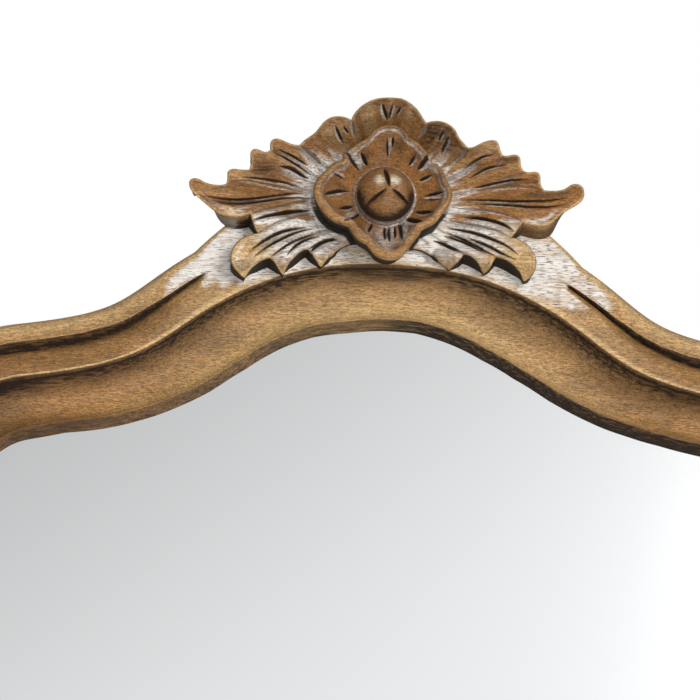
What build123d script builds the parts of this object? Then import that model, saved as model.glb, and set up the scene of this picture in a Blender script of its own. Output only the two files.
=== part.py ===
"""Cheval mirror: a carved and moulded mirror frame that tilts between two posts on scrolled feet.

Millimetres, +Z up, the glass facing -Y. The origin is on the floor, midway between the four feet.
"""

import os
from math import cos, radians, sin

from build123d import *

os.makedirs("parts", exist_ok=True)

# Mirror frame as a whole
frame_width = 576.0
frame_height = 1400.0
frame_lift = 228.0  # floor to the lowest point of the bottom rail
frame_depth = 30.0
pivot_height = 972.0
pivot_setback = 10.0  # pivot axis to the back of the frame
arch_rise = 72.0  # middle of the top rail above its arms
dip_drop = 30.0  # middle of the bottom rail below its arms
corner_radius = 66.0  # of the band's inner arris
top_arm_slope = 9.0
bottom_arm_slope = 4.0
stile_lap = 26.0  # straight stretch of stile that each rail carries past its corner

# Moulding, outward from the band's inner arris and forward from the back
bead_width = 12.5
bead_height = 10.0
groove_width = 3.5
groove_depth = 8.0
band_width = 16.0
cove_width = 30.0
cove_quirk = 5.0  # step below the arris
cove_hollow = 15.5  # lowest line of the cove below the arris
cove_low_share = 0.36
sight_drop = 10.0  # inner arris below the band
sight_slope = 4.0
rebate_depth = 10.0
rebate_width = 10.0

# Glass and what holds it
glass_thickness = 5.0
glass_clearance = 1.5
clip_length = 26.0
clip_width = 12.0
clip_corner = 3.0
clip_thickness = 1.2
clip_reach = 9.0  # how far a clip laps over the backing
clip_screw_inset = 10.0
clip_screw_radius = 1.6
clip_screw_head_radius = 3.2
clip_screw_head = 1.6
clip_screw_length = 9.0
clips_per_stile = 4
inset_steps = 12

# Tablet behind the crest
shoulder_half_width = 89.0  # where the shoulders run in under the crest
shoulder_height = 21.0  # of that point over the top arris
tablet_height = 56.0
tablet_bevel = 2.0
groove_tip_shift = 2.5
groove_tip_share = 0.04

# Crest
crest_half_width = 108.5
crest_height = 92.0
crest_thickness = 14.0
crest_seat = 5.0  # wood left under the flower
crest_seat_radius = 40.0
crest_dish_radius = 84.0  # where the carving reaches its full thickness
flute_lift = 0.3
flower_rise = 32.0  # middle of the flower over the top arris
flower_half_width = 37.0
flower_half_height = 39.0
flower_thickness = 20.0
flower_floor = 7.5
flower_gouge_radius = 2.4
flower_gouge_lift = 0.7
flower_gouges = 3
flower_gouge_turn = 18.0
boss_radius = 15.0
boss_height = 13.5
boss_foot = 2.0
boss_spigot_radius = 5.0
boss_spigot_length = 5.5
boss_gouge_radius = 2.4

# Stand
post_gap = 8.0
post_thickness = 32.0
post_foot = 66.0  # floor to the underside of the post
post_block_height = 172.0
post_block_width = 62.0
post_boss_radius = 27.0
post_boss_angle = 32.0
post_rise = 62.0  # post top above the pivot
post_edge = 2.5
post_flute_radius = 6.0
post_flute_depth = 3.0
post_flute_margin = 60.0
foot_reach = 228.0
foot_height = 200.0
foot_thickness = 30.0
foot_edge = 3.0
toe_radius = 19.0
toe_thickness = 36.0
toe_edge = 2.0
pad_thickness = 3.0
pad_radius = 12.0
stretcher_level = 112.0
stretcher_height = 62.0
stretcher_thickness = 22.0
stretcher_swell = 20.0
stretcher_edge = 3.0
finial_height = 66.0
finial_radius = 17.0
finial_spigot_radius = 6.0
finial_spigot_length = 22.0

# Pivot and clamp on each side
stud_radius = 4.0
stud_clearance = 0.08
insert_radius = 6.0
insert_length = 20.0
bush_wall = 2.0
flange_radius = 11.0
felt_radius = 10.0
felt_thickness = 1.7
running_gap = 0.3
clamp_gap = 0.1
knob_washer_radius = 13.0
knob_washer_thickness = 2.0
knob_radius = 21.0
knob_length = 32.0
knob_travel = 3.0
stud_grip = 20.0  # length held in the knob

# Joinery
dowel_radius = 4.0
dowel_length = 44.0
dowel_fit = 0.05
dowel_slack = 1.0
inner_dowel_offset = -12.0
inner_dowel_depth = 7.5
outer_dowel_offset = 20.0
outer_dowel_depth = 12.0
foot_dowel_length = 36.0
bolt_radius = 3.0
bolt_clearance = 0.1
bolt_head_radius = 6.5
bolt_head = 5.0
bolt_length = 88.0
nut_radius = 5.0
nut_length = 20.0
nut_inset = 50.0  # stretcher end to the middle of its nut
cap_radius = 8.0
cap_thickness = 3.0

# Worked out from the sizes above
half_width = frame_width / 2
band_edge = band_width + groove_width
edge_width = bead_width + band_edge
rebate_edge = rebate_width - cove_width - sight_slope  # outward from the arris, so negative
arris_half_width = half_width - edge_width
arris_top = frame_lift + frame_height - edge_width
arris_bottom = frame_lift + dip_drop + edge_width
apex = arris_top + arch_rise
face_level = frame_depth - pivot_setback
front_plane = Plane.XZ.offset(face_level)
post_inner = half_width + post_gap
post_outer = post_inner + post_thickness
post_middle = post_inner + post_thickness / 2
post_top = pivot_height + post_rise
bush_radius = stud_radius + stud_clearance + bush_wall
flower_middle = apex + flower_rise
stretcher_middle = stretcher_level + stretcher_height / 2

# Serpentine from the middle of a rail out to its corner: shares of that run and of the rise
serpentine_shares = [(0, 1), (0.23, 0.93), (0.5, 0.585), (0.675, 0.246), (0.87, 0.063), (1, 0)]
# Tablet, right half, from its shoulder's foot up to the middle: shares of shoulder width and height
shoulder_shares = [(1.42, -1.25), (1.32, -0.45), (1.2, 0.2), (1.1, 0.62), (1, 1)]
tablet_foot_share = 0.25
# Where the groove starts and where it is full, as shares of the serpentine's length
groove_start_share = 0.5
groove_full_share = 0.86
tablet_side_share = 0.67
tablet_side_height_share = 0.8

# Leaf spray, right half, lobe by lobe: shares of crest_half_width and crest_height over the arris
leaf_shares = [
    [(0.424, 0.707), (0.493, 0.73), (0.542, 0.746), (0.575, 0.725), (0.583, 0.668)],
    [(0.583, 0.668), (0.645, 0.666), (0.677, 0.655), (0.688, 0.61), (0.691, 0.561)],
    [(0.691, 0.561), (0.751, 0.557), (0.783, 0.543), (0.793, 0.511), (0.794, 0.465)],
    [(0.794, 0.465), (0.87, 0.45), (0.94, 0.485), (0.99, 0.475), (1, 0.44), (0.96, 0.37)],
    [(0.96, 0.37), (0.89, 0.31), (0.82, 0.262), (0.76, 0.25), (0.691, 0.261)],
    [(0.691, 0.261), (0.679, 0.215), (0.65, 0.157)],
    [(0.65, 0.157), (0.71, 0.125), (0.755, 0.065), (0.775, -0.01), (0.76, -0.075), (0.706, -0.13)],
    [(0.706, -0.13), (0.685, -0.09), (0.64, -0.045), (0.572, -0.009)],
    [(0.572, -0.009), (0.54, -0.06), (0.507, -0.098)],
    [(0.507, -0.098), (0.486, -0.059), (0.45, -0.02), (0.394, 0.028)],
    [(0.394, 0.028), (0.36, -0.02), (0.325, -0.059)],
    [(0.424, 0.707), (0.385, 0.76), (0.335, 0.825), (0.27, 0.867), (0.195, 0.854)],
]
# Lobes that cross the middle: their right halves
leaf_middle_shares = [
    [(0.195, 0.854), (0.155, 0.921), (0.09, 0.98), (0, 1)],
    [(0.325, -0.059), (0.304, -0.024), (0.254, 0.033), (0.15, 0.09), (0, 0.11)],
]
# Flutes of the right half: both ends, and half the width, in the same shares
flute_shares = [
    ((0.44, 0.52), (0.56, 0.7), 0.018),
    ((0.44, 0.44), (0.65, 0.6), 0.02),
    ((0.45, 0.38), (0.77, 0.5), 0.022),
    ((0.45, 0.3), (0.96, 0.42), 0.026),
    ((0.45, 0.23), (0.66, 0.22), 0.02),
    ((0.41, 0.16), (0.7, -0.05), 0.024),
    ((0.36, 0.08), (0.5, -0.06), 0.02),
    ((0.3, 0.05), (0.33, -0.02), 0.014),
    ((0.3, 0.66), (0.32, 0.8), 0.018),
    ((0.1, 0.8), (0.12, 0.93), 0.018),
]
# Flower about its middle, right half: shares of its half width and half height
petal_shares = [
    [(0.62, 0.6), (0.82, 0.43), (0.98, 0.2), (1, 0), (0.88, -0.26), (0.54, -0.45)],
]
petal_middle_shares = [
    [(0.62, 0.6), (0.47, 0.78), (0.25, 0.95), (0, 1.03)],
    [(0.54, -0.45), (0.38, -0.75), (0.18, -0.92), (0, -0.96)],
]
petal_back_share = 0.76
petal_rim_share = 0.9
petal_bowl_share = 0.6

# Foot, side view, outward from the post: shares of foot_reach and foot_height
foot_top_shares = [(0, 1), (0.13, 0.96), (0.3, 0.75), (0.47, 0.45), (0.64, 0.25), (0.8, 0.18), (0.93, 0.18)]
foot_under_shares = [(0, 0.36), (0.13, 0.4), (0.32, 0.32), (0.48, 0.14), (0.62, 0.03), (0.76, 0)]
pad_place_share = 0.85
foot_dowel_shares = [0.5, 0.82]
# Post, side view: shares of the height from block to boss and of half the block's width
post_side_shares = [(0, 1), (0.05, 0.82), (0.14, 0.6), (0.4, 0.5), (0.7, 0.54), (0.92, 0.62)]
# Post above the boss: shares of post_rise and of post_boss_radius
post_neck_shares = [(0.5, 0.5), (0.74, 0.44), (0.92, 0.62), (1, 0.66)]
# Stretcher, front view, from the middle out: shares of half its length and of its swell
stretcher_top_shares = [(0, 1), (0.22, 0.84), (0.46, 0.3), (0.7, 0.03), (1, 0)]
stretcher_under_shares = [(0, 1), (0.2, 0.55), (0.42, -0.3), (0.66, -0.1), (0.84, 0.02), (1, 0)]
stretcher_dowel_shares = [0.22, 0.78]
# Turned outlines: shares of length and of radius
finial_shares = [(0.2, 0.5), (0.3, 0.72), (0.46, 1), (0.64, 0.8), (0.82, 0.38), (0.94, 0.24)]
finial_foot_share = 0.85
finial_foot_height_share = 0.08
knob_shares = [(0, 0.5), (0.2, 0.5), (0.4, 0.62), (0.62, 0.92), (0.8, 1), (0.95, 0.7), (1, 0)]


def scaled(shares, wide, high, level=0.0):
    """Places given as shares of a width and a height, above a level."""
    return [(x * wide, level + z * high) for x, z in shares]


def both_ways(half):
    """A lobe that crosses the middle, from its right half, listed outermost point first."""
    return half + [(-x, z) for x, z in reversed(half[:-1])]


def keep(piece, name):
    """Labels a finished piece and writes its file."""
    piece.part.label = name
    export_step(piece.part, f"parts/{name}.step")


def keep_pair(right, name):
    """Writes a right-hand piece and its mirror image."""
    keep(right, f"right_{name}")
    with BuildPart() as left:
        mirror(right.part, about=Plane.YZ)
    keep(left, f"left_{name}")


def gouge(start, end, half_wide):
    """Cutter shaped like a spindle, with its two points at the given places."""
    chord = end - start
    facing = chord.cross(Vector(0, 1, 0))
    with BuildPart() as cut:
        with BuildSketch(Plane(origin=start, x_dir=chord, z_dir=facing)):
            with BuildLine():
                ThreePointArc((0, 0), (chord.length / 2, half_wide), (chord.length, 0))
                Line((0, 0), (chord.length, 0))
            make_face()
        revolve(axis=Axis(start, chord))
    return cut.part


# The arris that every moulding follows


def arris_half(rise, arm_slope, level, upward):
    """Right half of a rail's arris: the serpentine, the corner and a lap of stile."""
    lean = (cos(radians(arm_slope)), -upward * sin(radians(arm_slope)))
    run = arris_half_width - corner_radius * (1 - sin(radians(arm_slope)))
    foot = corner_radius * cos(radians(arm_slope)) + stile_lap
    serpentine = Spline(*scaled(serpentine_shares, run, upward * rise, level), tangents=[(1, 0), lean])
    corner = JernArc(serpentine @ 1, lean, corner_radius, -upward * (90 - arm_slope))
    Line(corner @ 1, (arris_half_width, level - upward * foot))
    return level - upward * foot


def across(point, outward):
    """Sketch plane across the moulding: X outward from the arris, Y forward from the back."""
    back = point + Vector(0, pivot_setback, 0)
    return Plane(origin=back, x_dir=outward, z_dir=outward.cross(Vector(0, -1, 0)))


def moulding(grooved):
    """Edges of the frame's section, with or without the groove behind the band."""
    with BuildLine() as outline:
        Line((0, frame_depth), (-sight_slope / 2, frame_depth - cove_quirk))
        ThreePointArc(
            (-sight_slope / 2, frame_depth - cove_quirk),
            (-cove_width * cove_low_share, frame_depth - cove_hollow),
            (-cove_width, frame_depth - sight_drop),
        )
        Polyline(
            (-cove_width, frame_depth - sight_drop),
            (-cove_width - sight_slope, rebate_depth),
            (rebate_edge, rebate_depth),
            (rebate_edge, 0),
            (edge_width, 0),
            (edge_width, frame_depth - bead_height),
        )
        EllipticalCenterArc((band_edge, frame_depth - bead_height), bead_width, bead_height, arc_size=90)
        if grooved:
            Polyline((band_edge, frame_depth), (band_width, frame_depth - groove_depth), (0, frame_depth))
        else:
            Line((band_edge, frame_depth), (0, frame_depth))
    return outline.edges()


with BuildLine(Plane.XZ) as top_arris:
    top_joint = arris_half(arch_rise, top_arm_slope, arris_top, 1)
with BuildLine(Plane.XZ) as bottom_arris:
    bottom_joint = arris_half(dip_drop, bottom_arm_slope, arris_bottom, -1)
top_serpentine = top_arris.edges().filter_by(GeomType.BSPLINE)[0]
top_corner = top_arris.edges().filter_by(GeomType.CIRCLE)[0]
top_lap = top_arris.edges().filter_by(GeomType.LINE)[0]

# Places that more than one piece shares
frame_dowel_places = [
    Plane(origin=(side * (arris_half_width + offset), pivot_setback - depth, level))
    for side in (-1, 1)
    for level in (bottom_joint, top_joint)
    for offset, depth in (
        (inner_dowel_offset, inner_dowel_depth),
        (outer_dowel_offset, outer_dowel_depth),
    )
]
stile_length = top_joint - bottom_joint
clip_pitch = stile_length / clips_per_stile
clip_levels = [bottom_joint + clip_pitch * (row + 1 / 2) for row in range(clips_per_stile)]
clip_places = [
    Plane(origin=(side * (arris_half_width + rebate_edge), pivot_setback, level), x_dir=(side, 0, 0),
          z_dir=(0, 1, 0))
    for side in (-1, 1)
    for level in clip_levels
]
clip_places += [
    Plane(origin=(0, pivot_setback, level + way * rebate_edge), x_dir=(0, 0, way), z_dir=(0, 1, 0))
    for level, way in ((apex, 1), (arris_bottom - dip_drop, -1))
]
stretcher_dowel_levels = [stretcher_level + share * stretcher_height for share in stretcher_dowel_shares]
foot_dowel_levels = [pad_thickness + share * foot_height for share in foot_dowel_shares]


def frame_holes():
    """Dowel and clip screw holes, cut in whichever frame piece is being built."""
    with Locations(*frame_dowel_places):
        Cylinder(dowel_radius + dowel_fit, dowel_length + 2 * dowel_slack, mode=Mode.SUBTRACT)
    with Locations(*[place * Pos(clip_screw_inset, 0, 0) for place in clip_places]):
        Hole(clip_screw_radius, clip_screw_length)


# Top rail with its tablet


def groove_section(size_share):
    """Section of the groove with waste above it, shrunk towards the bead's edge."""
    tip = band_edge + groove_tip_shift * (1 - size_share)
    section = [
        (-band_edge, 0),
        (band_width - band_edge, -groove_depth),
        (0, 0),
        (0, bead_height),
        (-band_edge, bead_height),
    ]
    return scaled([(tip / size_share + x, z) for x, z in section], size_share, size_share, frame_depth)


def across_edge(edge, share):
    """Sketch plane across the moulding, part of the way along an edge of the top arris."""
    along = edge % share
    return across(edge @ share, Vector(-along.Z, 0, along.X))


run_out = top_serpentine.trim(groove_start_share, groove_full_share)
full_run = [top_serpentine.trim(groove_full_share, 1), top_corner, top_lap]
with BuildPart() as top_groove:
    with BuildSketch(across_edge(run_out, 0)):
        Polygon(*groove_section(groove_tip_share), align=None)
    with BuildSketch(across_edge(run_out, 1)):
        Polygon(*groove_section(1), align=None)
    sweep(path=run_out, multisection=True)
    with BuildSketch(across_edge(run_out, 1)):
        Polygon(*groove_section(1), align=None)
    sweep(path=full_run)

with BuildPart() as tablet:
    with BuildSketch(front_plane):
        with BuildLine():
            shoulder = Spline(*scaled(shoulder_shares, shoulder_half_width, shoulder_height, apex))
            Polyline(
                shoulder @ 1,
                (shoulder_half_width * tablet_side_share, apex + tablet_height * tablet_side_height_share),
                (0, apex + tablet_height),
                (0, apex + shoulder_height * tablet_foot_share),
                (shoulder_half_width * tablet_side_share, apex + shoulder_height * tablet_foot_share),
                shoulder @ 0,
            )
        make_face()
        mirror(about=Plane.YZ)
    extrude(amount=-frame_depth)
    chamfer(tablet.faces().sort_by(Axis.Y)[0].edges(), tablet_bevel)

with BuildPart() as top_rail:
    with BuildSketch(across(top_arris.line @ 0, Vector(0, 0, 1))):
        make_face(moulding(False))
    sweep(path=top_arris.line)
    add(top_groove.part, mode=Mode.SUBTRACT)
    mirror(about=Plane.YZ)
    add(tablet.part)
    frame_holes()
keep(top_rail, "top_rail")

# Bottom rail
with BuildPart() as bottom_rail:
    with BuildSketch(across(bottom_arris.line @ 0, Vector(0, 0, -1))):
        make_face(moulding(True))
    sweep(path=bottom_arris.line)
    mirror(about=Plane.YZ)
    frame_holes()
keep(bottom_rail, "bottom_rail")

# Stiles
pivot_place = Plane(origin=(half_width, 0, pivot_height), z_dir=(1, 0, 0))
with BuildPart() as right_stile:
    with BuildSketch(across(top_arris.line @ 1, Vector(1, 0, 0))):
        make_face(moulding(True))
    extrude(amount=stile_length)
    frame_holes()
    with Locations(pivot_place):
        Hole(insert_radius, insert_length)
keep_pair(right_stile, "stile")

with BuildPart() as frame_dowels:
    with Locations(*frame_dowel_places):
        Cylinder(dowel_radius, dowel_length)
    chamfer(frame_dowels.edges().filter_by(GeomType.CIRCLE), dowel_slack)
keep(frame_dowels, "frame_dowels")

# Glass, backing and the clips that hold them


def inset_half(half, way, inset):
    """Line inside half of an arris, a steady distance nearer the glass, ending on the stile."""
    serpentine = half.filter_by(GeomType.BSPLINE)[0]
    corner = half.filter_by(GeomType.CIRCLE)[0]
    spots = []
    for step in range(inset_steps + 1):
        along = serpentine % (step / inset_steps)
        inward = Vector(along.Z, 0, -along.X) * way
        spots.append(serpentine @ (step / inset_steps) + inward * inset)
    Spline(*spots, tangents=[serpentine % 0, serpentine % 1])
    middle = corner.arc_center
    turned = []
    for share in (0, 1 / 2, 1):
        spoke = (corner @ share - middle).normalized()
        turned.append(middle + spoke * (corner_radius - inset))
    ThreePointArc(*turned)
    return turned[-1]


def rebate_panel(thickness, back_level):
    """Sheet that fills the rebate with its clearance all round, from one level forward to the next."""
    inset = glass_clearance - rebate_edge
    with BuildLine(Plane.XZ) as outline:
        upper = inset_half(top_arris.edges(), 1, inset)
        lower = inset_half(bottom_arris.edges(), -1, inset)
        Line(upper, lower)
        mirror(about=Plane.YZ)
    face = Pos(0, pivot_setback - back_level, 0) * make_face(outline.edges())
    with BuildPart() as panel:
        extrude(face, amount=thickness, dir=(0, -1, 0))
    return panel


keep(rebate_panel(rebate_depth - glass_thickness, 0), "backing_board")
keep(rebate_panel(glass_thickness, rebate_depth - glass_thickness), "mirror_glass")

with BuildPart() as glass_clips:
    with BuildSketch(*clip_places):
        with Locations((clip_length / 2 - clip_reach, 0)):
            RectangleRounded(clip_length, clip_width, clip_corner)
        with Locations((clip_screw_inset, 0)):
            Circle(clip_screw_radius + dowel_fit, mode=Mode.SUBTRACT)
    extrude(amount=clip_thickness)
keep(glass_clips, "glass_clips")

with BuildPart() as clip_screws:
    with BuildSketch(*clip_places):
        with Locations((clip_screw_inset, 0)):
            Circle(clip_screw_radius)
    extrude(amount=clip_thickness)
    extrude(clip_screws.faces().filter_by(Axis.Y).group_by(Axis.Y)[0], amount=clip_screw_length - dowel_slack)
    with BuildSketch(*[place.offset(clip_thickness) for place in clip_places]):
        with Locations((clip_screw_inset, 0)):
            Circle(clip_screw_head_radius)
    extrude(amount=clip_screw_head)
    chamfer(
        clip_screws.faces().filter_by(Axis.Y).group_by(Axis.Y)[-1].edges(), clip_screw_head / 2
    )
keep(clip_screws, "clip_screws")

# Crest: a dished spray of leaves with a flower and its boss seated on it
crest_axis = Axis((0, 0, flower_middle), (0, -1, 0))
crest_plane = Plane(origin=(0, 0, flower_middle), x_dir=(1, 0, 0), z_dir=(0, 0, 1))
crest_front = face_level + crest_thickness


def spray_level(x, z):
    """How far the dished face of the spray stands forward at a place."""
    reach = Vector(x, 0, z - flower_middle).length
    rise = (reach - crest_seat_radius) / (crest_dish_radius - crest_seat_radius)
    share = min(max(rise, 0), 1)
    return face_level + crest_seat + share * (crest_thickness - crest_seat)


flutes = []
for first, last, wide_share in flute_shares:
    ends = []
    for x, z in scaled([first, last], crest_half_width, crest_height, apex):
        ends.append(Vector(x, -spray_level(x, z) - flute_lift, z))
    flutes.append(gouge(*ends, wide_share * crest_height))

with BuildPart() as crest_spray:
    with BuildSketch(front_plane):
        with BuildLine():
            for lobe in leaf_shares:
                Spline(*scaled(lobe, crest_half_width, crest_height, apex))
            mirror(about=Plane.YZ)
            for half in leaf_middle_shares:
                Spline(*scaled(both_ways(half), crest_half_width, crest_height, apex))
        make_face()
    extrude(amount=crest_thickness)
    with BuildSketch(Plane.YZ):
        with BuildLine():
            Polyline(
                (-face_level - crest_seat, flower_middle),
                (-face_level - crest_seat, flower_middle + crest_seat_radius),
                (-crest_front, flower_middle + crest_dish_radius),
                (-crest_front - crest_seat, flower_middle + crest_dish_radius),
                (-crest_front - crest_seat, flower_middle),
                close=True,
            )
        make_face()
    revolve(axis=crest_axis, mode=Mode.SUBTRACT)
    for flute in flutes:
        add(flute, mode=Mode.SUBTRACT)
        add(mirror(flute, about=Plane.YZ, mode=Mode.PRIVATE), mode=Mode.SUBTRACT)
keep(crest_spray, "crest_spray")


def petals(size_share, level):
    """Face of the flower's outline, shrunk about its middle, at a distance forward."""
    across_share = flower_half_width * size_share
    up_share = flower_half_height * size_share
    with BuildSketch(Plane(origin=(0, -level, flower_middle), x_dir=(1, 0, 0), z_dir=(0, -1, 0))) as face:
        with BuildLine():
            for lobe in petal_shares:
                Spline(*scaled(lobe, across_share, up_share))
            mirror(about=Plane.YZ)
            for half in petal_middle_shares:
                Spline(*scaled(both_ways(half), across_share, up_share))
        make_face()
    return face.sketch


flower_back = face_level + crest_seat
flower_front = flower_back + flower_thickness
bowl_floor = flower_back + flower_floor
with BuildPart() as flower_bowl:
    add(petals(petal_bowl_share, bowl_floor))
    add(petals(petal_rim_share, flower_front))
    loft(ruled=True)

petal_cuts = []
for petal in range(4):
    for cut in range(flower_gouges):
        turn = radians(90 * petal + flower_gouge_turn * (cut - (flower_gouges - 1) / 2))
        ends = []
        for reach_share, level in ((petal_bowl_share, bowl_floor), (petal_rim_share, flower_front)):
            reach = flower_half_width * reach_share
            lifted = level + flower_gouge_lift
            ends.append(Vector(reach * cos(turn), -lifted, flower_middle + reach * sin(turn)))
        petal_cuts.append(gouge(*ends, flower_gouge_radius))

with BuildPart() as crest_flower:
    add(petals(petal_back_share, flower_back))
    add(petals(1, flower_front))
    loft(ruled=True)
    add(flower_bowl.part, mode=Mode.SUBTRACT)
    for cut in petal_cuts:
        add(cut, mode=Mode.SUBTRACT)
    with Locations(Plane(origin=(0, -bowl_floor, flower_middle), z_dir=(0, -1, 0))):
        Hole(boss_spigot_radius + dowel_fit, boss_spigot_length + dowel_slack)
keep(crest_flower, "crest_flower")

boss_back = bowl_floor
boss_cuts = []
for turn in (90, 210, 330):
    rim = Vector(boss_radius * cos(radians(turn)), 0, boss_radius * sin(radians(turn)))
    crown = Vector(0, -boss_back - boss_height, flower_middle)
    rim_level = Vector(0, -boss_back - boss_foot * 2, flower_middle)
    boss_cuts.append(gouge(crown, rim_level + rim, boss_gouge_radius))

with BuildPart() as crest_boss:
    with BuildSketch(crest_plane):
        with BuildLine():
            Polyline(
                (0, boss_spigot_length - boss_back),
                (boss_spigot_radius, boss_spigot_length - boss_back),
                (boss_spigot_radius, -boss_back),
                (boss_radius, -boss_back),
                (boss_radius, -boss_back - boss_foot),
            )
            EllipticalCenterArc(
                (0, -boss_back - boss_foot), boss_radius, boss_height - boss_foot, start_angle=0, arc_size=-90
            )
            Line((0, -boss_back - boss_height), (0, boss_spigot_length - boss_back))
        make_face()
    revolve(axis=crest_axis)
    for cut in boss_cuts:
        add(cut, mode=Mode.SUBTRACT)
keep(crest_boss, "crest_boss")

# Posts
block_top = post_foot + post_block_height
boss_lean = radians(post_boss_angle)
boss_join = (post_boss_radius * cos(boss_lean), post_boss_radius * sin(boss_lean))
waist_run = pivot_height - boss_join[1] - block_top
post_half_block = post_block_width / 2
stretcher_dowel_places = [
    Plane(origin=(side * post_inner, 0, level), z_dir=(1, 0, 0))
    for side in (-1, 1)
    for level in stretcher_dowel_levels
]
foot_dowel_places = [
    Plane(origin=(side * post_middle, way * post_block_width / 2, level), z_dir=(0, 1, 0))
    for side in (-1, 1)
    for way in (-1, 1)
    for level in foot_dowel_levels
]
head_seat = cap_thickness + bolt_head
outer_face = Plane(origin=(post_outer, 0, 0), x_dir=(0, 1, 0), z_dir=(1, 0, 0))

flute_reach = waist_run / 2 - post_flute_margin
flute_axis_level = post_outer + post_flute_radius - post_flute_depth
flute_middle = (flute_axis_level, 0, block_top + waist_run / 2)
flute_shoulder = flute_reach - post_flute_radius
with BuildPart() as post_flute:
    with BuildSketch(Plane(origin=flute_middle, x_dir=(1, 0, 0), z_dir=(0, -1, 0))):
        with BuildLine():
            Line((0, -flute_reach), (0, flute_reach))
            Line((-post_flute_radius, flute_shoulder), (-post_flute_radius, -flute_shoulder))
            for end in (-1, 1):
                RadiusArc(
                    (0, end * flute_reach),
                    (-post_flute_radius, end * flute_shoulder),
                    -end * post_flute_radius,
                )
        make_face()
    revolve(axis=Axis((flute_axis_level, 0, 0), (0, 0, 1)))

with BuildPart() as right_post:
    with BuildSketch(Plane.YZ.offset(post_inner)):
        with BuildLine():
            Polyline((0, post_foot), (post_half_block, post_foot), (post_half_block, block_top))
            waist = [(half * post_half_block, block_top + up * waist_run) for up, half in post_side_shares]
            Spline(*waist, (boss_join[0], pivot_height - boss_join[1]))
            ThreePointArc(
                (boss_join[0], pivot_height - boss_join[1]),
                (post_boss_radius, pivot_height),
                (boss_join[0], pivot_height + boss_join[1]),
            )
            neck = [
                (half * post_boss_radius, pivot_height + up * post_rise) for up, half in post_neck_shares
            ]
            Spline((boss_join[0], pivot_height + boss_join[1]), *neck)
            Line((post_neck_shares[-1][1] * post_boss_radius, post_top), (0, post_top))
            mirror(about=Plane.YZ)
        make_face()
    extrude(amount=post_thickness)
    chamfer(right_post.faces().filter_by(Axis.X).edges(), post_edge)
    add(post_flute.part, mode=Mode.SUBTRACT)
    with Locations(Plane(origin=(post_middle, 0, post_top))):
        Hole(finial_spigot_radius + dowel_fit, finial_spigot_length + dowel_slack)
    with Locations(Plane(origin=(post_outer, 0, pivot_height), z_dir=(1, 0, 0))):
        Hole(bush_radius, post_thickness)
    with Locations(Plane(origin=(post_outer, 0, stretcher_middle), z_dir=(1, 0, 0))):
        CounterBoreHole(bolt_radius + bolt_clearance, cap_radius + dowel_fit, head_seat, post_thickness)
    with Locations(*stretcher_dowel_places, *foot_dowel_places):
        Cylinder(dowel_radius + dowel_fit, dowel_length + 2 * dowel_slack, mode=Mode.SUBTRACT)
keep_pair(right_post, "post")

# Stretcher between the posts
with BuildPart() as stretcher:
    with BuildSketch(Plane.XZ.offset(-stretcher_thickness / 2)):
        top_level = stretcher_level + stretcher_height
        with BuildLine():
            top_half = scaled(stretcher_top_shares, post_inner, stretcher_swell, top_level)
            under_half = scaled(stretcher_under_shares, post_inner, stretcher_swell, stretcher_level)
            Spline(*both_ways(list(reversed(top_half))))
            Spline(*both_ways(list(reversed(under_half))))
            for side in (-1, 1):
                Line((side * post_inner, stretcher_level), (side * post_inner, top_level))
        make_face()
    extrude(amount=stretcher_thickness)
    fillet(stretcher.faces().filter_by(Axis.Y).edges().filter_by(GeomType.BSPLINE), stretcher_edge)
    with Locations(*stretcher_dowel_places):
        Cylinder(dowel_radius + dowel_fit, dowel_length + 2 * dowel_slack, mode=Mode.SUBTRACT)
    for side in (-1, 1):
        with Locations(Plane(origin=(side * post_inner, 0, stretcher_middle), z_dir=(side, 0, 0))):
            Hole(bolt_radius + bolt_clearance, bolt_length - post_thickness + head_seat + dowel_slack)
        nut_place = (side * (post_inner - nut_inset), stretcher_thickness / 2, stretcher_middle)
        with Locations(Plane(origin=nut_place, z_dir=(0, 1, 0))):
            Hole(nut_radius + dowel_fit, nut_length + dowel_slack)
keep(stretcher, "stretcher")

with BuildPart() as stretcher_dowels:
    with Locations(*stretcher_dowel_places):
        Cylinder(dowel_radius, dowel_length)
    chamfer(stretcher_dowels.edges().filter_by(GeomType.CIRCLE), dowel_slack)
keep(stretcher_dowels, "stretcher_dowels")

with BuildPart() as stretcher_bolts:
    for side in (-1, 1):
        seat = Plane(origin=(side * (post_outer - head_seat), 0, stretcher_middle), z_dir=(side, 0, 0))
        with BuildSketch(seat):
            RegularPolygon(bolt_head_radius, 6)
        extrude(amount=bolt_head)
        with BuildSketch(seat):
            Circle(bolt_radius)
        extrude(amount=-bolt_length)
keep(stretcher_bolts, "stretcher_bolts")

with BuildPart() as barrel_nuts:
    for side in (-1, 1):
        nut_middle = (side * (post_inner - nut_inset), 0, stretcher_middle)
        with Locations(Location(nut_middle, (90, 0, 0))):
            Cylinder(nut_radius, nut_length)
        with Locations(Plane(origin=nut_middle, z_dir=(1, 0, 0))):
            Cylinder(bolt_radius + dowel_fit, 2 * nut_length, mode=Mode.SUBTRACT)
keep(barrel_nuts, "barrel_nuts")

with BuildPart() as bolt_caps:
    for side in (-1, 1):
        cap_seat = (side * (post_outer - cap_thickness), 0, stretcher_middle)
        with BuildSketch(Plane(origin=cap_seat, z_dir=(side, 0, 0))):
            Circle(cap_radius)
        extrude(amount=cap_thickness)
keep(bolt_caps, "bolt_caps")

# Feet
front_of_post = post_half_block
toe_level = pad_thickness + toe_radius


def foot_line(shares):
    """Points of a foot's edge, seen from the side."""
    places = scaled(shares, foot_reach, foot_height, pad_thickness)
    return [(front_of_post + out, up) for out, up in places]


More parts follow.
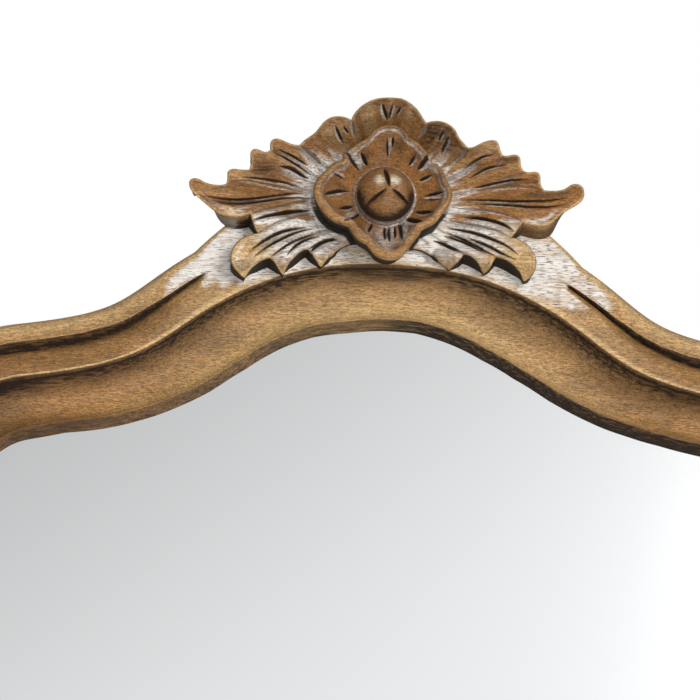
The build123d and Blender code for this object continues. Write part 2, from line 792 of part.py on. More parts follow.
with BuildPart() as back_right_foot:
    with BuildSketch(Plane.YZ.offset(post_middle - foot_thickness / 2)):
        with BuildLine():
            top_line = foot_line(foot_top_shares)
            under_line = foot_line(foot_under_shares)
            Spline(*top_line)
            Spline(*under_line)
            Polyline(top_line[-1], (front_of_post + foot_reach - toe_radius, pad_thickness), under_line[-1])
            Line(top_line[0], under_line[0])
        make_face()
    extrude(amount=foot_thickness)
    fillet(back_right_foot.faces().filter_by(Axis.X).edges().filter_by(GeomType.BSPLINE), foot_edge)
    with Locations(Location((post_middle, front_of_post + foot_reach - toe_radius, toe_level), (0, 90, 0))):
        Cylinder(toe_radius, toe_thickness)
    with Locations(*foot_dowel_places):
        Cylinder(dowel_radius + dowel_fit, dowel_length + 2 * dowel_slack, mode=Mode.SUBTRACT)
with BuildPart() as front_right_foot:
    mirror(back_right_foot.part, about=Plane.XZ)
for foot, end in ((back_right_foot, "back"), (front_right_foot, "front")):
    keep(foot, f"{end}_right_foot")
    with BuildPart() as left_foot:
        mirror(foot.part, about=Plane.YZ)
    keep(left_foot, f"{end}_left_foot")

with BuildPart() as foot_dowels:
    with Locations(*foot_dowel_places):
        Cylinder(dowel_radius, foot_dowel_length)
    chamfer(foot_dowels.edges().filter_by(GeomType.CIRCLE), dowel_slack)
keep(foot_dowels, "foot_dowels")

pad_reach = front_of_post + foot_reach * pad_place_share
with BuildPart() as foot_pads:
    with BuildSketch():
        with GridLocations(2 * post_middle, 2 * pad_reach, 2, 2):
            Circle(pad_radius)
    extrude(amount=pad_thickness)
keep(foot_pads, "foot_pads")

# Finials
with BuildPart() as right_finial:
    with BuildSketch(Plane(origin=(post_middle, 0, post_top), x_dir=(1, 0, 0), z_dir=(0, -1, 0))):
        with BuildLine():
            Polyline(
                (0, -finial_spigot_length),
                (finial_spigot_radius, -finial_spigot_length),
                (finial_spigot_radius, 0),
                (finial_radius * finial_foot_share, 0),
                (finial_radius * finial_foot_share, finial_height * finial_foot_height_share),
            )
            turned = [(r * finial_radius, up * finial_height) for up, r in finial_shares]
            Spline(
                (finial_radius * finial_foot_share, finial_height * finial_foot_height_share),
                *turned,
                (0, finial_height),
            )
            Line((0, finial_height), (0, -finial_spigot_length))
        make_face()
    revolve(axis=Axis((post_middle, 0, 0), (0, 0, 1)))
keep_pair(right_finial, "finial")

# Pivot and clamp


def ring(start, length, outer, bore):
    """Washer or tube along the pivot axis."""
    with BuildPart() as tube:
        with BuildSketch(Plane(origin=(start, 0, pivot_height), z_dir=(1, 0, 0))):
            Circle(outer)
            Circle(bore, mode=Mode.SUBTRACT)
        extrude(amount=length)
    return tube


stud_bore = stud_radius + stud_clearance
washer_face = post_outer + clamp_gap
knob_face = washer_face + knob_washer_thickness
keep_pair(ring(half_width - insert_length, insert_length, insert_radius, stud_bore), "insert")
keep_pair(ring(half_width, felt_thickness, felt_radius, stud_bore), "felt_washer")
keep_pair(ring(washer_face, knob_washer_thickness, knob_washer_radius, stud_bore), "knob_washer")

flange_start = half_width + felt_thickness + running_gap
with BuildPart() as right_bush:
    add(ring(flange_start, post_inner - flange_start, flange_radius, stud_bore).part)
    add(ring(post_inner, post_thickness, bush_radius, stud_bore).part)
keep_pair(right_bush, "bush")

stud_start = half_width - insert_length + knob_travel
with BuildPart() as right_stud:
    with BuildSketch(Plane(origin=(stud_start, 0, pivot_height), z_dir=(1, 0, 0))):
        Circle(stud_radius)
    extrude(amount=knob_face + stud_grip - stud_start)
    chamfer(right_stud.edges().filter_by(GeomType.CIRCLE).group_by(Axis.X)[0], dowel_slack)
keep_pair(right_stud, "stud")

with BuildPart() as right_knob:
    with BuildSketch(Plane(origin=(knob_face, 0, pivot_height), x_dir=(1, 0, 0), z_dir=(0, -1, 0))):
        with BuildLine():
            turned = scaled(knob_shares, knob_length, knob_radius)
            Polyline((stud_grip, 0), (stud_grip, stud_radius), (0, stud_radius), turned[0])
            Spline(*turned, tangents=[(1, 0), (0, -1)])
            Line((knob_length, 0), (stud_grip, 0))
        make_face()
    revolve(axis=Axis((0, 0, pivot_height), (1, 0, 0)))
keep_pair(right_knob, "knob")
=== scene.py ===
"""Cheval mirror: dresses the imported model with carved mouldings, a carved crest and limed wood.

Metres, in the same frame as the model: the floor is z = 0 and the glass faces -Y.
"""

import math

import bmesh
import bpy
import numpy as np
from mathutils import Matrix, Vector, noise
from mathutils.geometry import delaunay_2d_cdt


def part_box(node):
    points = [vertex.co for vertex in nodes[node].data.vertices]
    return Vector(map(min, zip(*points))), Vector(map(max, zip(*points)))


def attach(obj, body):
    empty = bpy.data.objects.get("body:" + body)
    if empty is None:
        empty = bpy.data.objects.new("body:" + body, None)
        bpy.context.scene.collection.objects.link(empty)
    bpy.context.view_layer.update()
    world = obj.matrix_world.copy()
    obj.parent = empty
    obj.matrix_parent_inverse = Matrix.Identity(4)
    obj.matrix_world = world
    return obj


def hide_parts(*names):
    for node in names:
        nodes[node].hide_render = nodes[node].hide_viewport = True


bl_info = {
    "name": "Limed Cheval Mirror",
    "version": (1, 0, 0),
    "blender": (4, 5, 0),
    "location": "View3D > Sidebar > Mirror",
    "description": "Carves, finishes and lights a cheval mirror on its packed model",
    "category": "Object",
}

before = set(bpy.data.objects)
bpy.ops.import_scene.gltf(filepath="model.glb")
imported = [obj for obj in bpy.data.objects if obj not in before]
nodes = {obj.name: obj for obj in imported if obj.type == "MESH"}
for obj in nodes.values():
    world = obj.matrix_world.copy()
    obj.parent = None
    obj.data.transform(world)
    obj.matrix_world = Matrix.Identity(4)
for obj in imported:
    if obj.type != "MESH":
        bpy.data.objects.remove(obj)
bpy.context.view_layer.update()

# Shares of the run and of the rise, from the middle of a rail out to its corner
SERPENTINE = ((0, 1), (0.23, 0.93), (0.5, 0.585), (0.675, 0.246), (0.87, 0.063), (1, 0))
# Tablet, right half: shares of shoulder width and height, then of shoulder width and tablet height
SHOULDER = ((1.42, -1.25), (1.32, -0.45), (1.2, 0.2), (1.1, 0.62), (1, 1))
TABLET_SIDE = (0.67, 0.8)

# Crest outline from the left wing's root round the top, in thousandths of half width and height;
# each lobe starts where the one before it ends
SPRAY = (
    ((-105, 128), (-168, 105)),
    ((-232, 84), (-286, 26), (-325, -24), (-352, -62)),
    ((-377, -36), (-399, -8), (-422, 34)),
    ((-450, 23), (-485, -16), (-517, -58), (-534, -92), (-544, -119)),
    ((-577, -84), (-605, -53), (-619, -37)),
    ((-654, -52), (-687, -79), (-718, -116), (-739, -156)),
    ((-781, -127), (-809, -97), (-817, -44), (-802, 21), (-763, 78), (-718, 105), (-682, 116)),
    ((-706, 168), (-722, 240)),
    ((-783, 215), (-840, 213), (-885, 226), (-925, 254), (-966, 290), (-1001, 323), (-1027, 357),
     (-1036, 390), (-1031, 422), (-1012, 432)),
    ((-986, 429), (-957, 414), (-917, 403), (-877, 403), (-846, 416)),
    ((-841, 450), (-841, 485), (-822, 505), (-776, 509), (-731, 512)),
    ((-725, 536), (-723, 578), (-726, 616), (-714, 636), (-676, 631), (-646, 623), (-625, 640)),
    ((-627, 673), (-621, 697), (-596, 712), (-563, 703), (-522, 684), (-477, 680)),
    ((-445, 718), (-401, 757), (-363, 817), (-319, 859), (-275, 869), (-242, 864), (-215, 852)),
    ((-192, 905), (-148, 954), (-97, 985), (-33, 998), (25, 999), (82, 971), (128, 921), (154, 875),
     (170, 854)),
    ((212, 864), (250, 860), (289, 839), (318, 804), (335, 766), (361, 733), (382, 709)),
    ((410, 710), (438, 727), (472, 746), (506, 755), (529, 749), (541, 718), (552, 684), (562, 667)),
    ((587, 664), (620, 672), (644, 660), (650, 636), (655, 598), (673, 571)),
    ((701, 565), (730, 570), (747, 557), (753, 532), (756, 491), (776, 458)),
    ((815, 454), (855, 456), (888, 471), (910, 489), (944, 495), (967, 481), (975, 450)),
    ((973, 408), (951, 373), (901, 335), (845, 286), (789, 233), (738, 234), (666, 255)),
    ((649, 218), (631, 181), (611, 151)),
    ((648, 143), (688, 114), (717, 70), (735, 16), (733, -38), (718, -77), (697, -96), (677, -104)),
    ((666, -70), (640, -38), (604, -4), (564, 18), (532, 26)),
    ((518, -9), (501, -43), (477, -61)),
    ((456, -31), (424, 5), (394, 27), (367, 34)),
    ((351, 3), (325, -24), (301, -39)),
    ((270, -9), (225, 30), (164, 75), (107, 83)),
    ((49, 110), (-28, 157)),
)
# Creases between leaves and flutes along them: half width in mm, then places in the same thousandths
CREASES = (
    (1.8, (-476, 677), (-423, 640), (-358, 587)),
    (0.9, (-728, 510), (-667, 511), (-590, 523)),
    (0.8, (-844, 411), (-778, 436), (-665, 431), (-487, 415), (-441, 406)),
    (0.9, (-718, 235), (-601, 287), (-486, 340), (-409, 364)),
    (1, (-681, 118), (-595, 176), (-491, 242), (-403, 279)),
    (0.9, (-617, -35), (-552, 28), (-465, 98), (-371, 157)),
    (0.9, (-421, 36), (-350, 100), (-278, 135)),
    (1.2, (-215, 849), (-204, 803), (-198, 757)),
    (1.2, (169, 853), (153, 811), (130, 777)),
    (1.3, (380, 706), (334, 659), (286, 606)),
    (0.9, (562, 663), (540, 615), (487, 573)),
    (0.9, (673, 568), (609, 537), (500, 507)),
    (0.8, (774, 457), (652, 473), (551, 469), (427, 449)),
    (0.9, (663, 254), (578, 301), (453, 340), (337, 347)),
    (1, (612, 152), (500, 203), (378, 252), (287, 270)),
    (0.9, (532, 28), (451, 82), (363, 149), (283, 197)),
    (0.9, (367, 36), (302, 99), (232, 141)),
)
FLUTES = (
    (1.3, (-597, 647), (-515, 605), (-428, 561)),
    (1.1, (-618, 627), (-530, 577), (-468, 546), (-407, 511)),
    (1.9, (-584, 538), (-513, 532), (-459, 506), (-420, 493)),
    (1.4, (-773, 457), (-697, 456), (-546, 449), (-464, 433)),
    (1.3, (-964, 330), (-887, 314), (-773, 317), (-659, 345), (-544, 388), (-444, 396)),
    (1.2, (-924, 300), (-830, 288), (-716, 300), (-601, 340), (-514, 368), (-417, 374)),
    (2.2, (-713, 189), (-601, 238), (-514, 274), (-410, 297)),
    (1.9, (-728, -17), (-656, 59), (-572, 119), (-486, 160), (-422, 186)),
    (1.6, (-704, -43), (-627, 32), (-543, 92), (-456, 152), (-390, 181)),
    (1.6, (-532, -23), (-485, 51), (-427, 104), (-360, 134)),
    (2.2, (-411, 14), (-357, 88), (-312, 116), (-266, 121)),
    (1.2, (369, 585), (418, 623), (462, 649), (518, 665)),
    (1.3, (394, 524), (448, 562), (503, 586), (582, 600)),
    (1.4, (412, 471), (506, 490), (589, 507), (696, 515)),
    (1.3, (352, 395), (453, 402), (592, 388), (704, 382), (816, 391), (900, 412)),
    (1.3, (414, 375), (537, 366), (648, 352), (760, 344), (844, 356), (900, 374)),
    (2.2, (370, 288), (453, 281), (535, 248), (625, 184)),
    (1.7, (280, 227), (397, 189), (506, 133), (592, 88), (643, 35)),
    (1.4, (386, 154), (468, 103), (547, 55), (638, 8)),
    (1.6, (269, 171), (342, 144), (413, 97), (486, 42)),
    (1.5, (213, 140), (269, 116), (312, 74), (358, 38)),
    (1.7, (-299, 813), (-280, 761), (-249, 715)),
    (1.3, (-258, 807), (-227, 768)),
    (1.9, (-61, 959), (-47, 909), (-28, 867)),
    (1.6, (-4, 962), (-14, 911), (-23, 870)),
    (1.3, (38, 944), (14, 892)),
    (1.6, (261, 808), (233, 747)),
    (1.9, (286, 774), (251, 677)),
)
FLOWER = (
    ((-222, 635), (-184, 673), (-146, 700), (-115, 743), (-77, 776), (-39, 791), (6, 786), (44, 760),
     (70, 722), (109, 697), (147, 655), (179, 598)),
    ((193, 571), (231, 541), (254, 503), (265, 457), (287, 411), (294, 356), (272, 292), (241, 244),
     (210, 195), (163, 163), (141, 146)),
    ((128, 113), (97, 65), (72, 17), (35, -30), (-16, -48), (-67, -37), (-112, 0), (-137, 38), (-170, 60),
     (-202, 97), (-222, 135), (-236, 153)),
    ((-266, 164), (-311, 185), (-350, 223), (-382, 276), (-402, 337), (-404, 392), (-391, 432), (-360, 473),
     (-326, 518), (-291, 547), (-263, 559), (-262, 595)),
)
# Cuts in the petals, in the same way
PETAL_CUTS = (
    (1, (-33, 735), (-26, 618)),
    (0.9, (-9, 736), (-6, 685)),
    (1.3, (-172, 632), (-130, 562)),
    (1.7, (-232, 601), (-164, 529)),
    (1.1, (115, 629), (80, 569)),
    (1.7, (179, 611), (122, 538)),
    (1, (-316, 489), (-245, 471)),
    (1.1, (-360, 343), (-291, 385), (-217, 400)),
    (1.1, (-275, 274), (-196, 309)),
    (1.6, (-229, 202), (-157, 281)),
    (0.9, (133, 479), (199, 507)),
    (0.9, (159, 385), (264, 393)),
    (0.9, (160, 367), (256, 353)),
    (1.2, (117, 284), (205, 270)),
    (1.6, (86, 236), (156, 200)),
    (1.2, (-102, 214), (-126, 130)),
    (1.2, (-33, 201), (-37, 93)),
    (1.2, (-12, 196), (-13, 79)),
    (1.7, (44, 228), (51, 84)),
    (0.9, (13, 196), (14, 102)),
)
# Cuts in the boss: half width and both ends in mm from its middle
BOSS_CUTS = (
    (2.6, (-1.6, 14.5), (1.6, 2.2)),
    (2.1, (0.2, 1.0), (-12.2, -9.2)),
    (2.1, (2.8, 1.2), (13.6, -7.0)),
)
# Rise of the leaves round the flower: angle in degrees, then where the rise starts and ends in mm
RISE = (
    (0, 33, 86), (7, 33, 88), (14, 33, 72), (23, 32, 64), (33, 30, 58), (61, 32, 50), (93, 42, 54),
    (122, 36, 50), (154, 38, 62), (161, 40, 68), (171, 42, 76), (177, 43, 92), (195, 41, 64), (210, 38, 68),
    (217, 36, 56), (225, 35, 46), (290, 36, 42), (313, 34, 42), (324, 33, 50), (330, 33, 64), (345, 33, 58),
    (360, 33, 86),
)
# Tips of the lower leaves, which dip towards the rail: mm from the middle of the crest's foot
TIPS = ((-80.5, -14.3), (-59.4, -11.0), (-38.6, -5.7), (32.1, -3.7), (51.2, -5.5), (72.8, -9.7))
# Start of the groove, left and right: mm from the middle, then its share of full width and of full depth
GROOVE_START = (
    ((99, 0, 0), (104, 0.15, 0.32), (108, 0.29, 0.45), (122, 0.46, 0.65), (138, 0.75, 0.85), (160, 1, 1)),
    ((98.5, 0, 0), (100.5, 0.2, 0.42), (118, 0.27, 0.6), (130, 0.42, 0.75), (150, 0.5, 0.9), (165, 0.7, 1),
     (190, 1, 1)),
)
# How far the hand-cut sight edge strays: mm from the middle, then mm towards the glass
STRAY = (
    (-245, 0), (-213, -1.9), (-175, -4.2), (-156, -2.8), (-136, -1.9), (-117, -0.5), (-98, 1.7), (-79, 2.1),
    (-59, 0.4), (-40, -0.5), (-21, -0.2), (-2, -1.2), (17, -1.1), (37, 1.4), (56, 4.0), (75, 4.8), (94, 3.2),
    (114, -0.3), (133, -2.9), (152, -4.2), (200, -4.2), (240, 0),
)
# Masks that the carved pieces carry, each 0 to 1: white wax, dark glaze with painted shade, rubbed edges with
# some painted light, and carver's wood
MASKS = ("limed", "glazed", "worn", "carved")
# Sharp edges start at these angles, in degrees
MOULDED, CARVED, TURNED = 38.0, 42.0, 50.0
# Level of the top arris at the middle of the frame
ARRIS_LEVEL = 1.668
# Section of the moulding: the rebate's wall and the sight edge, out from the arris; then the rebate's depth
REBATE, SIGHT, LEDGE = -0.024, -0.034, 0.010
# Small bevel that takes the sharpness off an edge
BEVEL = 0.0002
# Places in the section out from the arris and forward from the back: three of the hollow, then the quirk
HOLLOW = ((-0.030, 0.020), (-0.0108, 0.0145), (-0.002, 0.025))
QUIRK = ((-0.0016, 0.0262, 0.2), (-0.0008, 0.0283, 0.6), (-0.0003, 0.0296, 0.9))
# Outer side of the arris, least width of the field beside it, and shares of the slope into the groove
ARRIS_SIDE, LEAST_FIELD = 0.0009, 0.0012
SLOPE = (0.15, 0.3, 0.45, 0.6, 0.72, 0.82, 0.9, 0.96, 1.0)
# Hand work along a rail: pitch of the groove's wander, pitch of its change of depth, and that change
WANDER_PITCH, DEPTH_PITCH, DEPTH_SHARE = 0.014, 0.022, 0.05
# Tablet behind the crest: its shoulders' half width and height, and its own height over the arris
SHOULDER_WIDE, SHOULDER_HIGH, TABLET_HIGH = 0.089, 0.021, 0.056
# Round on the outer edge where the crest sits on the rail
THIN_BEAD = 0.0032
# Width of the dark seam between two pieces and its glaze
SEAM, SEAM_GLAZE = 0.0007, 0.85
# Widths of a cut's steep and easy sides, as shares of its half width
STEEP, EASY = 0.55, 1.45
# Height over the top arris up to which leaves count as lower ones
LOWER_LEAVES = 0.018
MILLIMETRE = 0.001


def number(name, description, default, least=0.0, **more):
    """A number that a user may change."""
    return bpy.props.FloatProperty(name=name, description=description, default=default, min=least, **more)


def length(name, description, default):
    """A size that a user may change, in metres."""
    return number(name, description, default, unit="LENGTH", subtype="DISTANCE")


def angle(name, description, degrees):
    """An angle that a user may change."""
    return number(name, description, math.radians(degrees), -math.pi, unit="ROTATION", subtype="ANGLE")


def position(name, description, default):
    """A place that a user may change, in metres."""
    return bpy.props.FloatVectorProperty(
        name=name, description=description, default=default, size=len(default), unit="LENGTH"
    )


def paint(name, description, default):
    """A colour that a user may change."""
    return bpy.props.FloatVectorProperty(
        name=name, description=description, default=default, size=3, min=0.0, max=1.0, subtype="COLOR_GAMMA"
    )


class MouldingSizes(bpy.types.PropertyGroup):
    half_width: length("Half width", "Middle of the frame to a stile's outside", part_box("right_stile")[1][0])
    foot: length("Foot", "Lowest point of the bottom rail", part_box("bottom_rail")[0][2])
    height: length("Height", "Bottom rail's lowest point to the band over the arms", 1.4)
    back: length("Back", "Back of the frame behind the pivot axis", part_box("right_stile")[1][1])
    depth: length("Depth", "Back of the frame to its face", 0.03)
    edge: length("Edge", "Arris to the outside of the moulding", 0.032)
    arch: length("Arch", "Middle of the top rail above its arms", 0.072)
    dip: length("Dip", "Middle of the bottom rail below its arms", 0.03)
    corner: length("Corner", "Radius of the arris at the corners", 0.066)
    lap: length("Lap", "Straight stile that each rail carries past its corner", 0.026)
    groove_depth: length("Groove depth", "Face to the bottom of the groove", 0.008)
    groove_edge: length("Groove edge", "Arris to the groove's outer lip", 0.0195)
    bead_width: length("Bead width", "Round on the outer edge", 0.0125)
    bead_height: length("Bead height", "Fall of that round", 0.01)
    cut_wander: length("Cut wander", "How far the hand-cut groove wanders", 0.0004)
    step: length("Step", "Distance between sections along the top rail", 0.0016)


class CrestSizes(bpy.types.PropertyGroup):
    half_width: length("Half width", "Middle of the crest to a wing's tip", 0.1085)
    height: length("Height", "Top arris to the top of the crest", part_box("crest_spray")[1][2] - ARRIS_LEVEL)
    thickness: length("Thickness", "Face to the front of the outer leaves", 0.0146)
    seat: length("Seat", "Wood left under the flower", 0.0052)
    boss_middle: position("Boss middle", "Middle of the boss across and over the arris", (-0.0042, 0.0346))
    flower_rise: length("Flower rise", "Top arris to the middle of the flower", 0.032)
    rim: length("Rim", "Face to the flower's rim", 0.0248)
    floor: length("Floor", "Face to the bottom of the flower", 0.0125)
    boss_radius: length("Boss radius", "Radius of the boss", 0.0165)
    boss_height: length("Boss height", "Bottom of the flower to the boss's crown", 0.0134)
    cut_depth: length("Cut depth", "Depth of a flute per metre of its half width", 1.15)
    tip_dip: length("Tip dip", "How far the lower leaves' tips dip towards the rail", 0.0065)
    grid: length("Grid", "Spacing of the carved surface's points", 0.00065)


class FinishColours(bpy.types.PropertyGroup):
    # the gold also shows as painted light where the worn mask carries it, on the boss's top facets and in the
    # hollow next to the sight edge
    gold: paint("Gold", "Wood where the glaze is rubbed off", (0.76, 0.625, 0.43))
    tan: paint("Tan", "Wood of the mouldings", (0.685, 0.535, 0.345))
    brown: paint("Brown", "Wood of the carving", (0.575, 0.39, 0.20))
    # the glaze colour is also painted as shade on leaf walls, undercuts and the hollow under the arris
    glaze: paint("Glaze", "Dark glaze in the cuts", (0.095, 0.056, 0.030))
    lime: paint("Lime", "White wax in the pores", (0.86, 0.845, 0.82))
    brass: paint("Brass", "Aged brass", (0.70, 0.56, 0.33))
    steel: paint("Steel", "Bright steel", (0.62, 0.62, 0.63))
    felt: paint("Felt", "Felt washers and pads", (0.24, 0.20, 0.17))
    board: paint("Board", "Backing board", (0.56, 0.44, 0.31))
    beech: paint("Beech", "Dowels", (0.80, 0.67, 0.50))
    glass: paint("Glass", "Silvered glass", (0.985, 0.985, 0.985))


class StudioSettings(bpy.types.PropertyGroup):
    aim: position("Aim", "Place on the object that the camera looks at", (-0.020974, -0.02, 1.617674))
    distance: length("Distance", "Camera to that place", 4.191)
    turn: angle("Turn", "How far the camera stands to the left", 4.42)
    tilt: angle("Tilt", "How far the camera looks up", 16.28)
    roll: angle("Roll", "Lean of the picture", 0.974)
    lens: number("Lens", "Focal length in millimetres on a 36 mm wide picture", 391.9, 1.0)
    fill: number("Fill", "Strength of the light from all round", 0.40)
    key: number("Key", "Power of the soft box, W", 70.0)
    key_place: position("Key place", "Where the soft box stands", (1.25, -3.0, 1.95))
    front: number("Front lamp", "Power of the low lamp in front, W", 34.0)
    front_place: position("Front lamp place", "Where the low lamp stands", (-0.2, -3.2, 1.1))
    glow: number("Glow", "Brightness that the glass shows at its middle", 0.682)
    glow_across: number("Glow across", "How fast that brightness grows towards the right", 4.0, -100.0)
    glow_above: number("Glow above", "How fast that brightness grows upwards", -6.5, -100.0)


# Shader expressions


class Socket:
    """An output in a material: arithmetic on it adds Math nodes."""

    def __init__(self, finish, link):
        self.finish = finish
        self.link = link

    def maths(self, operation, *values, clamp=False):
        settings = {"operation": operation, "use_clamp": clamp}
        return self.finish.node("ShaderNodeMath", settings, dict(enumerate(values)))

    def __add__(self, other):
        return self.maths("ADD", self, other)

    __radd__ = __add__

    def __sub__(self, other):
        return self.maths("SUBTRACT", self, other)

    def __rsub__(self, other):
        return self.maths("SUBTRACT", other, self)

    def __mul__(self, other):
        return self.maths("MULTIPLY", self, other)

    __rmul__ = __mul__

    def clamped(self):
        return self.maths("ADD", self, 0.0, clamp=True)

    def larger(self, other):
        return self.maths("MAXIMUM", self, other)

    def within(self, low, high):
        return self.finish.node("ShaderNodeClamp", {}, {"Value": self, "Min": low, "Max": high})

    def ramp(self, low, high):
        """0 at low and 1 at high, eased between them."""
        settings = {"interpolation_type": "SMOOTHSTEP"}
        return self.finish.node("ShaderNodeMapRange", settings, {0: self, 1: low, 2: high})


class Finish:
    """A material in the making."""

    def __init__(self, name, owner=None):
        self.material = owner or bpy.data.materials.new(name)
        self.material.use_nodes = True
        self.tree = self.material.node_tree
        self.tree.nodes.clear()

    def node(self, kind, settings, inputs, output=0):
        """One node: its settings first, then the values or links of its sockets."""
        made = self.tree.nodes.new(kind)
        for name, value in settings.items():
            setattr(made, name, value)
        for name, value in inputs.items():
            if isinstance(value, Socket):
                self.tree.links.new(value.link, made.inputs[name])
            else:
                made.inputs[name].default_value = value
        return Socket(self, made.outputs[output]) if len(made.outputs) else None

    def mix(self, share, first, second):
        """Two colours mixed by a share."""
        return self.node("ShaderNodeMix", {"data_type": "RGBA"}, {0: share, 6: first, 7: second}, 2)

    def scaled(self, colour, factor):
        """A colour made darker or lighter all over."""
        return self.node("ShaderNodeVectorMath", {"operation": "SCALE"}, {0: colour, "Scale": factor})

    def cloud(self, fine, detail=3.0, rough=0.55, distort=0.0):
        """Noise between 0 and 1 that runs with the piece, of one fineness or one for each axis."""
        here = self.node("ShaderNodeTexCoord", {}, {}, "Object")
        ways = fine if isinstance(fine, tuple) else (fine, fine, fine)
        place = self.node("ShaderNodeVectorMath", {"operation": "MULTIPLY"}, {0: here, 1: ways})
        inputs = {"Vector": place, "Scale": 1.0, "Detail": detail, "Roughness": rough, "Distortion": distort}
        return self.node("ShaderNodeTexNoise", {}, inputs)

    def mask(self, name):
        """A mask carried by the mesh's points."""
        return self.node("ShaderNodeAttribute", {"attribute_name": name}, {}, "Fac")

    def recess(self, distance, inward):
        """How open a place is, to the air or inside the piece."""
        settings = {"samples": 6, "inside": inward}
        return self.node("ShaderNodeAmbientOcclusion", settings, {"Distance": distance}, "AO")

    def bump(self, height, distance, **more):
        """Surface relief in metres from a height of 0 to 1."""
        return self.node("ShaderNodeBump", {}, {"Height": height, "Distance": distance, **more})

    def surface(self, **sockets):
        """Ends the material with its shader."""
        names = {name.replace("_", " "): value for name, value in sockets.items()}
        shader = self.node("ShaderNodeBsdfPrincipled", {}, names)
        self.node("ShaderNodeOutputMaterial", {}, {"Surface": shader})
        return self.material


def linear(colour):
    """Scene value of a written colour."""
    made = [c / 12.92 if c <= 0.04045 else ((c + 0.055) / 1.055) ** 2.4 for c in colour]
    return (*made, 1.0)


def shade(colour, share):
    """Scene value of a written colour, darker or lighter."""
    return tuple(c * share for c in linear(colour)[:3]) + (1.0,)


def grain_along(axis, fast, slow):
    """Stretch of a wood texture: slow along the grain's axis and fast across it."""
    return tuple(slow if a == axis else fast for a in "XYZ")


def wood(name, axis, carried):
    """Mahogany with lime in its pores, glaze in its cuts and painted shade; carried says the mesh has the
    masks.
    """
    colours = bpy.context.scene.mirror_colours
    f = Finish(name)

    def grain(fast, slow, *more):
        return f.cloud(grain_along(axis, fast, slow), *more)

    figure = grain(55.0, 9.0, 4.0, 0.6, 0.6)
    fibre = grain(620.0, 45.0, 4.0, 0.65)
    pores = grain(1500.0, 220.0, 2.0, 0.5)
    blotch = f.cloud(38.0, 3.0, 0.5)
    tooled = f.cloud(160.0, 2.0, 0.5)
    speck = grain(1700.0, 620.0, 2.0, 0.6)
    fleck = (1.0 - pores.ramp(0.36, 0.49)) * fibre.ramp(0.28, 0.58)
    if carried:
        limed, glazed, worn = f.mask("limed"), f.mask("glazed"), f.mask("worn")
    else:
        # painted shade: darker where nearby surfaces close the place in, standing also for glaze in the
        # hollows
        glazed = 1.0 - f.recess(0.012, False).ramp(0.35, 0.95)
        worn = (1.0 - f.recess(0.004, True).ramp(0.35, 0.85)) * blotch.ramp(0.35, 0.55)
        limed = glazed * blotch.ramp(0.48, 0.62) * 0.5
    tan = f.mix(figure.ramp(0.36, 0.64), shade(colours.tan, 0.62), linear(colours.tan))
    rich = f.mix(figure.ramp(0.34, 0.66), shade(colours.brown, 0.66), linear(colours.brown))
    carving = f.mask("carved") if carried else 0.25
    base = f.mix(carving, tan, rich)
    base = f.mix((worn * 1.25 - 0.35 * blotch).clamped(), base, linear(colours.gold))
    base = f.scaled(base, 0.52 + 0.38 * fibre.ramp(0.36, 0.64) + 0.52 * speck.ramp(0.34, 0.68))
    base = f.mix((fleck * (0.42 + 0.45 * limed)).clamped(), base, shade(colours.glaze, 2.2))
    wax = limed * (0.35 + 1.05 * fibre.ramp(0.32, 0.60)) * (1.0 - 0.80 * fleck)
    wax = (wax * (0.45 + 0.8 * blotch.ramp(0.34, 0.60))).clamped()
    base = f.mix(wax * 0.90, base, linear(colours.lime))
    # glaze and painted shade from the mask, streaked along the grain
    dark = (glazed * (0.50 + 0.90 * fibre.ramp(0.36, 0.62)) + (glazed * 1.9 - 1.15).clamped()).clamped()
    base = f.mix(dark * 0.96, base, linear(colours.glaze))
    relief = f.bump(tooled * 0.75 + blotch * 0.5, 0.0007)
    relief = f.bump(fibre * 0.5 - fleck * 0.9, 0.00022, Normal=relief)
    rough = (0.46 + 0.20 * wax + 0.14 * fibre - 0.10 * worn + 0.25 * dark).clamped()
    return f.surface(Base_Color=base, Roughness=rough, Normal=relief, IOR=1.40)


def metal(name, colour, rough, tarnish, tint):
    """Turned metal with fine lines, tarnish in clouds and scattered handling marks."""
    f = Finish(name)
    lines = f.cloud((2600.0, 240.0, 240.0), 2.0)
    cloud = f.cloud(90.0, 4.0, 0.6)
    marks = f.cloud(700.0, 2.0).ramp(0.60, 0.72)
    base = f.mix(cloud.ramp(0.40, 0.68) * tarnish, linear(colour), linear(tint))
    base = f.mix(marks * 0.3, base, shade(tint, 0.7))
    normal = f.bump(lines * 0.5 + marks * 0.5, 0.00004)
    roughness = rough + 0.16 * cloud + 0.10 * lines
    return f.surface(Base_Color=base, Metallic=1.0, Roughness=roughness, Normal=normal)


def mirror_finish(name):
    """Silvered glass, faintly dusty."""
    f = Finish(name)
    dust = f.cloud(900.0).ramp(0.56, 0.74)
    haze = f.cloud(5.0)
    colour = linear(bpy.context.scene.mirror_colours.glass)
    base = f.mix(dust * 0.05 + haze * 0.03, colour, (0.70, 0.71, 0.70, 1.0))
    roughness = 0.004 + 0.012 * haze + 0.03 * dust
    return f.surface(Base_Color=base, Metallic=1.0, Roughness=roughness)


def cloth_finish(name, colour):
    """Pressed felt: short matted fibres."""
    f = Finish(name)
    hairs = f.cloud((1800.0, 1800.0, 600.0), 5.0, 0.7, 1.5)
    lumps = f.cloud(260.0)
    base = f.mix(hairs.ramp(0.3, 0.7), shade(colour, 0.55), shade(colour, 1.25))
    return f.surface(Base_Color=base, Roughness=0.92 + 0.05 * lumps, Normal=f.bump(hairs + lumps, 0.0005))


